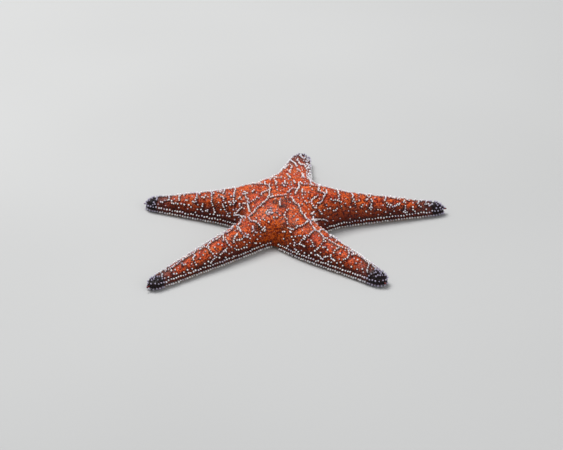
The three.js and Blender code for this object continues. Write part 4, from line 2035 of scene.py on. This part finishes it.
@dataclass
class Skin:
    """The one skin over disc and arms, with its ridges, grooves and mouth hollow."""

    form: BodyForm
    markings: Markings
    view: View
    voxel: float = 0.68
    ridge_height: float = 0.5
    ridge_width: float = 0.9
    swell: float = 0.42
    swell_from: float = 1.3
    swell_to: float = 3.0
    valley_depth: float = 0.12
    valley_place: float = 1.25
    valley_width: float = 0.5
    lump_height: float = 0.16
    fine_height: float = 0.10

    def block_out(self) -> bpy.types.Object:
        """Disc and arms as closed overlapping shapes, moved onto the body's form.

        Returns:
            One object with all the blocks.
        """
        shape = bmesh.new()
        bmesh.ops.create_icosphere(shape, subdivisions=6, radius=1.0)
        ways = np.array([vertex.co.normalized() for vertex in shape.verts])
        origins = np.tile([0.0, 0.0, 11.0], (len(ways), 1))
        ends = self.form.cast(origins, ways, self.form.skin, 44.0)
        for vertex, end in zip(shape.verts, ends):
            vertex.co = end
        for arm in ARMS:
            self._arm_shape(shape, arm)
        return object_from("skin_blocks", shape)

    def _arm_shape(self, shape: bmesh.types.BMesh, arm: Arm) -> None:
        """Adds one arm as a sphere drawn out along its middle line.

        Args:
            shape: The mesh being made.
            arm: The arm.
        """
        inner, fan = 22.0, 6.0
        made = bmesh.ops.create_uvsphere(shape, u_segments=64, v_segments=96, radius=1.0)
        unit = np.array([vertex.co for vertex in made["verts"]])
        part = np.arccos(np.clip(-unit[:, 2], -1, 1)) / math.pi
        turn = np.arctan2(unit[:, 1], unit[:, 0])
        body = np.clip(part / 0.86, 0, 1)
        tip = np.clip((part - 0.86) / 0.14, 0, 1) * (math.pi / 2)
        last = arm.length - self.form.coat - fan
        distance = inner + (last - inner) * body
        level = 0.44 * self.form.crest_height(arm, distance)
        origins = arm.middle(distance, 0.0)
        origins[:, 2] = level
        ways = np.cos(turn)[:, None] * arm.across + np.sin(turn)[:, None] * UP
        ways = np.cos(tip)[:, None] * ways + np.sin(tip)[:, None] * arm.along
        starting = part < 1e-6
        ways[starting] = UP
        ends = self.form.cast(origins, ways, self.form.skin, 40.0)
        ends[starting] = origins[starting]
        for vertex, end in zip(made["verts"], ends):
            vertex.co = end

    def close(self, blocks: bpy.types.Object) -> Mesh:
        """The blocks joined into one even surface, settled on the body's form.

        Args:
            blocks: The blocks.

        Returns:
            The closed skin, in the body frame.
        """
        modifier = blocks.modifiers.new("close", "REMESH")
        modifier.mode = "VOXEL"
        modifier.voxel_size = self.voxel
        modifier.use_smooth_shade = True
        mesh = applied(blocks)
        set_places(mesh, self.form.settle(places_of(mesh), self.form.skin, 5))
        return mesh

    def raise_relief(self, mesh: Mesh, rows: KDTree, spines: KDTree) -> None:
        """Raises ridges under the rows, swells the skin between them, and stores the masks, among them the
        painted shadow round the spines' feet and beside the rows.

        Args:
            mesh: The closed skin.
            rows: Points along the lines of the rows.
            spines: Feet of the spines.
        """
        places = places_of(mesh)
        out = self.form.outward(places, self.form.skin)
        masks = self.markings.masks(places)
        to_row = nearest(rows, places)
        to_spine = nearest(spines, places)
        above = 1 - masks["oral"]
        lift = self.ridge_height * np.exp(-((to_row / self.ridge_width) ** 2))
        full = smooth_step(self.swell_from, self.swell_to, to_row)
        lift += self.swell * full * (1 - masks["flank"] * 0.6)
        beside = np.exp(-(((to_row - self.valley_place) / self.valley_width) ** 2))
        lift -= self.valley_depth * beside
        lift += self.lump_height * lumpy(places, 0.45) + self.fine_height * lumpy(places, 1.3)
        places += out * (lift * above)[:, None]
        set_places(mesh, places)
        for name, values in masks.items():
            give_values(mesh, name, values)
        # Painted shadow: a dark ring round each spine's foot and a dark line beside each row.
        ring = np.maximum(1 - smooth_step(0.65, 1.3, to_spine), 0.75 * beside)
        give_values(mesh, "foot", ring * above)
        # Blots: partly dark skin, partly painted shadow.
        give_values(mesh, "blot", self._blots_and_shadows(places))

    def _blots_and_shadows(self, places: Array) -> Array:
        """The dark blots on the front of the disc, partly dark skin and partly painted shadow.

        Args:
            places: Places on the skin.

        Returns:
            How dark each place is, from 0 to 1.
        """
        centres = self.form.seen(self.view, np.array(list(DARK_BLOTS_AND_SHADOWS.values())), 0.3)
        away = np.linalg.norm(places[:, None, :] - centres[None], axis=2).min(axis=1)
        ragged = away + 1.1 * lumpy(places, 0.8)
        return (1 - smooth_step(1.6, 4.6, ragged)) * (places[:, 2] > 5)


@dataclass(frozen=True)
class Growth:
    """A kind of growth that is scattered: its clearance from what stands, and its size."""

    clear: float
    head: float
    tall: float


@dataclass
class Coat:
    """Everything that grows on the skin in great numbers."""

    form: BodyForm
    markings: Markings
    workshop: Workshop
    planter: Planter
    single: Growth = Growth(clear=2.2, head=0.38, tall=1.3)
    gill: Growth = Growth(clear=0.85, head=0.34, tall=0.5)
    peg: Growth = Growth(clear=1.3, head=0.46, tall=1.0)
    seed: int = 23

    def __post_init__(self) -> None:
        """Starts the seeded draws and makes the small shapes."""
        self.draw = np.random.default_rng(self.seed)
        self.shapes = {kind: sprig_shape(kind) for kind in Sprig}

    def plant(self, label: str, kind: Sprig, roots: Roots, finish: Material,
              slot: str) -> None:
        """Plants one kind of shape, as a piece for each arm and one for the disc.

        Args:
            label: Start of the pieces' names.
            kind: Which small shape.
            roots: Where they stand.
            finish: Their material.
            slot: Name of a material slot, passed on with each piece.
        """
        owner = self.form.owner(roots.foot)
        for index in range(len(ARMS) + 1):
            own = roots.pick(owner == index)
            if not len(own.foot):
                continue
            where = "disc" if index == DISC else f"arm_{ARMS[index].name}"
            unwrap = self.form.unrolled(own.foot, index)
            mesh = self.planter.plant(
                self.shapes[kind], own, unwrap, self.markings.masks(own.foot), self.draw)
            self.workshop.piece(f"{label}_{where}", mesh, finish, slot)

    def strew(self, mesh: Mesh, taken: Array) -> Roots:
        """Single spines between the rows: sparse above, closer on flanks and arms' ends.

        Args:
            mesh: The skin.
            taken: Feet of the spines that already stand.

        Returns:
            Roots of the new spines.
        """
        places, out, masks = self._candidates(mesh)
        open_skin = (masks["oral"] <= 0.2) & (places[:, 2] >= 5.8) & (masks["web"] <= 0.3)
        roomy = 7.0 - 2.6 * masks["flank"] - 2.8 * masks["end"]
        gaps = np.clip(roomy + self.draw.uniform(-0.5, 0.9, len(places)), 1.6, 7.5)
        return self._scatter(places, out, open_skin, gaps, taken, self.single)

    def gills(self, mesh: Mesh, taken: Array) -> Roots:
        """Soft gills all over the skin between the spines.

        Args:
            mesh: The skin.
            taken: Feet of what already stands.

        Returns:
            Their roots.
        """
        places, out, masks = self._candidates(mesh)
        open_skin = (masks["oral"] <= 0.1) & (places[:, 2] >= 2.6)
        gaps = self.draw.uniform(0.8, 1.1, len(places))
        return self._scatter(places, out, open_skin, gaps, taken, self.gill)

    def pegs(self, mesh: Mesh, taken: Array) -> Roots:
        """Blunt pegs under the arms, standing on the floor.

        Args:
            mesh: The skin.
            taken: Feet of what already stands.

        Returns:
            Their roots.
        """
        places, out, masks = self._candidates(mesh)
        flat = (masks["oral"] > 0.75) & (places[:, 2] < self.form.under.level + 0.35)
        gaps = self.draw.uniform(1.45, 1.75, len(places))
        roots = self._scatter(places, out, flat, gaps, taken, self.peg)
        roots.height = np.clip(roots.foot[:, 2], 0.6, 1.4)
        roots.lean = np.tile(DOWN, (len(roots.foot), 1))
        return roots

    def _scatter(self, places: Array, out: Array, allowed: Array, gaps: Array, taken: Array,
                 growth: Growth) -> Roots:
        """Roots chosen from candidates in a random order, none too close to another.

        Args:
            places: Candidate places on the skin.
            out: The skin's normals there.
            allowed: Which candidates may be chosen.
            gaps: Clearance that each asks for.
            taken: Feet of what already stands.
            growth: What is scattered.

        Returns:
            The roots, with a small random lean and size.
        """
        thinning = Thinning(places, ~allowed)
        thinning.clear(taken, growth.clear)
        chosen = thinning.take(self.draw.permutation(len(places)), gaps)
        out = out[chosen]
        lean = units(out + self.draw.normal(0, 0.1, out.shape))
        count = len(chosen)
        width = growth.head * self.draw.uniform(0.78, 1.15, count)
        height = growth.tall * self.draw.uniform(0.75, 1.2, count)
        return Roots(places[chosen], lean, width, height, self.draw.random(count))

    def feet(self) -> Roots:
        """Four rows of tube feet along each groove.

        Returns:
            Their roots, in the grooves' roofs.
        """
        pitch = 1.75
        spots = []
        for arm in ARMS:
            stations = np.arange(11.0, arm.length - 9.0, pitch)
            for row, aside in enumerate((-0.62, -0.24, 0.24, 0.62)):
                own = stations + (pitch / 2 if row % 2 else 0)
                part = np.clip(own / arm.length, 0, 1)
                reach = self.form.under.groove_half_width * (1 - 0.5 * part) * aside
                spots.append(arm.middle(own, 0.6) + reach[:, None] * arm.across)
        feet = np.vstack(spots)
        feet = self.form.cast(feet, UP, self.form.hollow, 7.0)
        lean = units(DOWN + self.draw.normal(0, 0.12, feet.shape))
        count = len(feet)
        height = np.maximum(feet[:, 2] * self.draw.uniform(0.72, 0.97, count), 0.6)
        return Roots(feet, lean, self.draw.uniform(0.5, 0.62, count), height,
                     self.draw.random(count))

    def _candidates(self, mesh: Mesh) -> tuple[Array, Array, dict]:
        """Places over the skin, moved off its vertices a little, with normals and masks.

        Args:
            mesh: The skin.

        Returns:
            The places, the normals, and the masks by name.
        """
        places = places_of(mesh)
        out = np.empty(len(places) * 3, np.float32)
        mesh.vertex_normals.foreach_get("vector", out)
        out = out.reshape(-1, 3).astype(float)
        shift = self.draw.uniform(-0.3, 0.3, places.shape)
        shift -= out * (shift * out).sum(axis=1, keepdims=True)
        masks = {}
        for name in ("end", "flank", "oral", "web"):
            values = np.empty(len(places), np.float32)
            mesh.attributes[name].data.foreach_get("value", values)
            masks[name] = values.astype(float)
        return places + shift, out, masks


@dataclass
class SievePlate:
    """The madreporite: a small chalky button with radiating furrows."""

    form: BodyForm
    bearing: float = 252.0
    distance: float = 26.2
    radius: float = 1.3
    proud: float = 0.6
    furrows: int = 17

    @property
    def place(self) -> Array:
        """Where the plate sits on the skin."""
        return self.form.on_disc(np.array([[self.bearing, self.distance]]))[0]

    def build(self) -> Mesh:
        """The plate's mesh, with its furrows pressed in.

        Returns:
            The mesh, in the body frame.
        """
        shape = bmesh.new()
        bmesh.ops.create_uvsphere(shape, u_segments=68, v_segments=28, radius=1.0)
        seat = self.place
        out = Vector(self.form.outward(seat[None], self.form.flesh)[0])
        stand = out.to_track_quat("Z", "Y").to_matrix()
        values = {}
        for vertex in shape.verts:
            x, y, z = vertex.co
            radial = math.hypot(x, y)
            turn = math.atan2(y, x)
            wander = noise.noise(Vector((x * 2.2, y * 2.2, 3.0)))
            wave = math.cos(self.furrows * turn + 2.6 * wander * radial)
            depth = smooth_step(0.12, 0.4, np.array([radial]))[0] * (z > -0.3)
            groove = 0.10 * depth * (0.5 - 0.5 * wave)
            rise = self.proud * (1.25 * z if z > 0 else 0.9 * z) - groove
            edge = self.radius * (1 - 0.06 * depth * (0.5 - 0.5 * wave))
            flat = min(1.0, radial**0.8 * 1.02)
            scale = edge * flat / max(radial, 1e-6)
            local = Vector((x * scale, y * scale, rise))
            vertex.co = Vector(seat) + stand @ local
            # Painted shade: the furrows' floors take the darker colour.
            values[vertex.index] = 0.35 + 0.65 * (0.5 + 0.5 * wave) if depth else 1.0
        made = object_from("sieve_plate_shape", shape)
        give_values(made.data, "rise", np.array([values[i] for i in sorted(values)]))
        return applied(made)

    def guard(self, draw: np.random.Generator) -> Roots:
        """Spines in a ring round the plate.

        Args:
            draw: Seeded draws.

        Returns:
            Their roots.
        """
        out = self.form.outward(self.place[None], self.form.skin)[0]
        first = np.cross(out, UP)
        first /= np.linalg.norm(first)
        second = np.cross(out, first)
        turns = np.linspace(0, 2 * math.pi, 9, endpoint=False) + draw.normal(0, 0.12, 9)
        ring = self.radius + 0.75
        feet = self.place + ring * (
            np.cos(turns)[:, None] * first + np.sin(turns)[:, None] * second)
        feet = self.form.settle(feet, self.form.skin, 3)
        lean = self.form.outward(feet, self.form.skin)
        return Roots(feet, lean, draw.uniform(0.42, 0.52, 9), draw.uniform(1.0, 1.25, 9),
                     draw.random(9))


@dataclass
class Mouth:
    """The mouth: a folded lip in the hollow and spines on the five corners round it."""

    form: BodyForm
    lip_radius: float = 7.6
    opening: float = 1.6
    roof: float = 6.3
    sill: float = 1.9
    folds: int = 20

    def build(self) -> Mesh:
        """The lip, turned from a profile and drawn into folds.

        Returns:
            The mesh, in the body frame.
        """
        profile = (
            (self.opening * 0.6, self.sill + 3.4), (self.opening, self.sill + 1.5),
            (self.opening * 1.25, self.sill + 0.5), (self.opening * 1.8, self.sill),
            (self.opening * 2.5, self.sill + 0.3), (self.lip_radius * 0.72, self.sill + 1.2),
            (self.lip_radius * 0.9, self.sill + 2.4), (self.lip_radius * 0.8, self.roof - 1.0),
            (self.lip_radius * 0.4, self.roof),
        )
        shape = turned(profile, 4 * self.folds)
        capped(shape, [edge for edge in shape.edges if edge.is_boundary])
        bmesh.ops.subdivide_edges(
            shape, edges=shape.edges, cuts=1, smooth=0.6, use_grid_fill=True)
        bmesh.ops.recalc_face_normals(shape, faces=shape.faces)
        rise = []
        for vertex in shape.verts:
            x, y, z = vertex.co
            radial = math.hypot(x, y)
            turn = math.atan2(y, x)
            fold = math.sin(self.folds * turn + 0.8 * math.sin(3 * turn))
            near = math.exp(-((radial - self.opening * 1.7) / 2.0) ** 2)
            vertex.co.z += 0.22 * fold * near
            # Painted shade: darker in the fold troughs and inside the opening.
            rise.append(0.55 + 0.45 * fold * near - 0.4 * (radial < self.opening))
        made = object_from("lip_shape", shape)
        give_values(made.data, "rise", np.clip(rise, 0, 1))
        return applied(made)

    def corner_spines(self, draw: np.random.Generator) -> Roots:
        """Spines on the corners between the grooves, leaning over the mouth.

        Args:
            draw: Seeded draws.

        Returns:
            Their roots.
        """
        feet, leans = [], []
        for index, arm in enumerate(ARMS):
            after = ARMS[(index + 1) % len(ARMS)]
            middle = arm.along + after.along
            middle /= np.linalg.norm(middle)
            aside = np.array([-middle[1], middle[0], 0.0])
            for out, spread in ((7.6, 0.0), (8.4, 1.0), (8.4, -1.0), (9.6, 1.9), (9.6, -1.9)):
                feet.append(middle * out + aside * spread + np.array([0, 0, 1.6]))
                leans.append(-0.55 * middle + np.array([0, 0, -0.8]))
        feet = self.form.settle(np.array(feet), self.form.skin, 4)
        lean = units(np.array(leans) + draw.normal(0, 0.08, (len(feet), 3)))
        height = np.minimum(2.6, feet[:, 2] / np.maximum(-lean[:, 2], 0.3))
        return Roots(feet, lean, np.full(len(feet), 0.5), height, draw.random(len(feet)))


@dataclass
class EyeCushions:
    """The red eyespot on the last tube foot of every arm."""

    form: BodyForm
    radius: float = 0.5

    def build(self, arm: Arm) -> Mesh:
        """The cushion at one arm's tip, drawn out behind into the skin.

        Args:
            arm: The arm.

        Returns:
            The mesh, in the body frame.
        """
        shape = bmesh.new()
        bmesh.ops.create_icosphere(shape, subdivisions=4, radius=self.radius)
        level = self.form.section.margin_level
        place = arm.middle(arm.length - self.radius * 0.7, level)[0]
        inside = arm.middle(arm.length - 10.0, level)
        seat = self.form.cast(inside, arm.along[None], self.form.skin, 12.0)[0]
        tail = max(0.0, float((place - seat) @ arm.along)) + self.radius
        along = Vector(arm.along)
        for vertex in shape.verts:
            way = vertex.co.normalized()
            vertex.co *= 1 + 0.07 * noise.noise(way * 4.5)
            vertex.co.z *= 0.86
            vertex.co += Vector(place) - along * tail * max(0.0, -way.dot(along))
        return applied(object_from("eye_shape", shape))


@dataclass
class FurrowGuards:
    """Slender pegs that stand in a row on both lips of every groove."""

    form: BodyForm
    pitch: float = 1.35
    seed: int = 41

    def roots(self) -> Roots:
        """Two rows on each lip, splayed away from the groove.

        Returns:
            Their roots.
        """
        draw = np.random.default_rng(self.seed)
        under = self.form.under
        sets = []
        for arm in ARMS:
            stations = np.arange(11.0, arm.length - 8.0, self.pitch)
            part = np.clip(stations / (arm.length - under.groove_end), 0, 1)
            width = under.half_width(part)
            for turn in (1, -1):
                for out, phase, splay in ((0.55, 0.0, -0.15), (1.65, 0.5, 0.25)):
                    own = stations + phase * self.pitch
                    feet = arm.middle(own, under.level)
                    feet += ((width + out) * turn)[:, None] * arm.across
                    lean = DOWN + splay * turn * arm.across
                    lean = units(lean + draw.normal(0, 0.06, feet.shape))
                    feet = self.form.settle(feet, self.form.skin, 3)
                    height = feet[:, 2] / np.maximum(-lean[:, 2], 0.5)
                    count = len(feet)
                    sets.append(Roots(feet, lean, draw.uniform(0.32, 0.42, count),
                                      np.clip(height, 0.6, 2.4), draw.random(count)))
        return Roots.join(sets)


# ---- the studio


@dataclass(frozen=True)
class Studio:
    """Plain pale floor, soft light, and the camera at the chosen viewing angle."""

    view: View
    floor_radius: float = 14.0
    key_power: float = 29.0
    fill_power: float = 8.0
    surround: float = 0.35

    def camera(self, centre: Vector) -> None:
        """Sets up the camera, looking along +Y down at the body's centre.

        Args:
            centre: The body's centre on the floor, in metres.
        """
        lens = bpy.data.cameras.new("camera")
        lens.sensor_width = 36.0
        lens.lens = lens.sensor_width * self.view.distance / (self.view.pixel * self.view.width)
        lens.clip_start, lens.clip_end = 0.05, 60.0
        stand = linked("camera", lens)
        stand.location = centre + Vector(self.view.place * METRES)
        stand.rotation_euler = (math.radians(90 - self.view.elevation), 0, 0)
        bpy.context.scene.camera = stand

    def floor(self) -> None:
        """A wide pale floor."""
        shape = bmesh.new()
        bmesh.ops.create_circle(shape, cap_ends=True, segments=96, radius=self.floor_radius)
        ground = object_from("studio_floor", shape)
        material = bpy.data.materials.new("pale_floor")
        material.use_nodes = True
        bench = Bench(material.node_tree)
        shader = next(n for n in material.node_tree.nodes if n.type == "BSDF_PRINCIPLED")
        shade = bench.span(bench.noise(bench.place(), 2.0, 2.0), 0.3, 0.7)
        bench.join(bench.mix(shade, linear(187, 187, 186), linear(192, 192, 191)),
                   shader.inputs["Base Color"])
        shader.inputs["Roughness"].default_value = 0.85
        shader.inputs["Specular IOR Level"].default_value = 0.2
        ground.data.materials.append(material)

    def lights(self, centre: Vector) -> None:
        """One broad key from above and behind, a weak fill in front, and a pale surround.

        Args:
            centre: The body's centre on the floor, in metres.
        """
        world = bpy.data.worlds.new("surround")
        world.use_nodes = True
        back = world.node_tree.nodes["Background"]
        back.inputs["Color"].default_value = (0.93, 0.96, 1.0, 1.0)
        back.inputs["Strength"].default_value = self.surround
        bpy.context.scene.world = world
        self._area("key", centre + Vector((-0.5, 0.55, 1.5)), centre, 0.9, self.key_power)
        self._area("fill", centre + Vector((0.9, -1.3, 0.9)), centre, 1.2, self.fill_power)
        view = bpy.context.scene.view_settings
        view.view_transform = "Standard"
        view.look = "None"

    def _area(self, name: str, place: Vector, target: Vector, size: float,
              power: float) -> None:
        """A square light aimed at a target.

        Args:
            name: Its name.
            place: Where it hangs, in metres.
            target: What it is aimed at.
            size: Its side.
            power: In watts.
        """
        lamp = bpy.data.lights.new(name, "AREA")
        lamp.shape = "SQUARE"
        lamp.size = size
        lamp.energy = power
        stand = linked(name, lamp)
        stand.location = place
        stand.rotation_euler = (target - place).to_track_quat("-Z", "Y").to_euler()


# ---- assembly


def body_centre() -> Vector:
    """The body's centre on the floor in the row frame, from the disc's round cut.

    Returns:
        The centre, in metres.
    """
    disc_cut_radius = 0.040
    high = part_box("disc")[1]
    return Vector((high.x - disc_cut_radius, high.y - disc_cut_radius, 0.0))


def main() -> None:
    """Builds every piece in order and reports each one."""
    logging.basicConfig(level=logging.INFO, format="%(name)s %(message)s")
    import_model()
    centre = body_centre()
    view = View()
    studio = Studio(view)
    studio.camera(centre)
    studio.floor()
    studio.lights(centre)

    form = BodyForm()
    markings = Markings(form)
    workshop = Workshop(centre)
    effects = SharedEffects(BodyColours())
    coat = Coat(form, markings, workshop, Planter())
    plan = SpinePlan(form, view)
    plan.trace()
    in_rows = plan.in_rows()
    margins = Roots.join(plan.on_margins())
    plate = SievePlate(form)
    guard = plate.guard(coat.draw)
    mouth = Mouth(form)
    corner = mouth.corner_spines(coat.draw)
    furrow = FurrowGuards(form).roots()
    LOG.info("%d spines in rows, %d on the margins", len(in_rows.foot), len(margins.foot))

    skin = Skin(form, markings, view)
    skin_mesh = skin.close(skin.block_out())
    LOG.info("skin closed with %d vertices", len(skin_mesh.vertices))
    standing = np.vstack([in_rows.foot, margins.foot, guard.foot])
    rows = tree_of(np.vstack([row.line for row in plan.rows] + plan.margin_lines))
    skin.raise_relief(skin_mesh, rows, tree_of(standing))
    strewn = coat.strew(skin_mesh, standing)
    LOG.info("%d single spines", len(strewn.foot))
    beads = Roots.join([in_rows, guard, strewn])
    above = np.vstack([beads.foot, margins.foot, plate.place[None]])
    gills = coat.gills(skin_mesh, above)
    under = np.vstack([margins.foot, furrow.foot, corner.foot])
    pegs = coat.pegs(skin_mesh, under)

    spine_skin = SpineFinish("spine_chalk").make(effects)
    margin_skin = SpineFinish("margin_spine_chalk").make(effects)
    peg_skin = SpineFinish("peg_chalk", head=linear(226, 202, 176), lilac=linear(206, 170, 150),
                           foot=linear(176, 116, 84)).make(effects)
    coat.plant("spines", Sprig.BEAD, beads, spine_skin, "spine")
    coat.plant("margin_spines", Sprig.MARGIN, margins, margin_skin, "spine")
    coat.plant("gills", Sprig.PAPULA, gills, PapulaFinish().make(effects), "soft_tissue")
    coat.plant("pegs", Sprig.PEG, Roots.join([pegs, furrow, corner]), peg_skin, "spine")
    coat.plant("tube_feet", Sprig.TUBE_FOOT, coat.feet(), TubeFootFinish().make(effects),
               "soft_tissue")
    for shape in coat.shapes.values():
        bpy.data.objects.remove(shape, do_unlink=True)

    star = workshop.piece("star_skin", skin_mesh, SkinFinish().make(effects), "skin")
    flesh = [f"{part}_{arm.name}" for part in ("arm", "arm_tip") for arm in ARMS]
    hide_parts("disc", *flesh)
    button = workshop.piece("sieve_plate", plate.build(), CHALKY_PLATE.make(effects), "spine")
    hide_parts("madreporite")
    lip = workshop.piece("mouth_lip", mouth.build(), MOUTH_SKIN.make(effects), "soft_tissue")
    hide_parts("mouth")
    eye_skin = EyespotFinish().make(effects)
    cushions = EyeCushions(form)
    for arm in ARMS:
        eye = workshop.piece(f"eye_{arm.name}", cushions.build(arm), eye_skin, "eyespot")
        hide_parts(f"eyespot_{arm.name}")


if __name__ == "__main__":
    main()
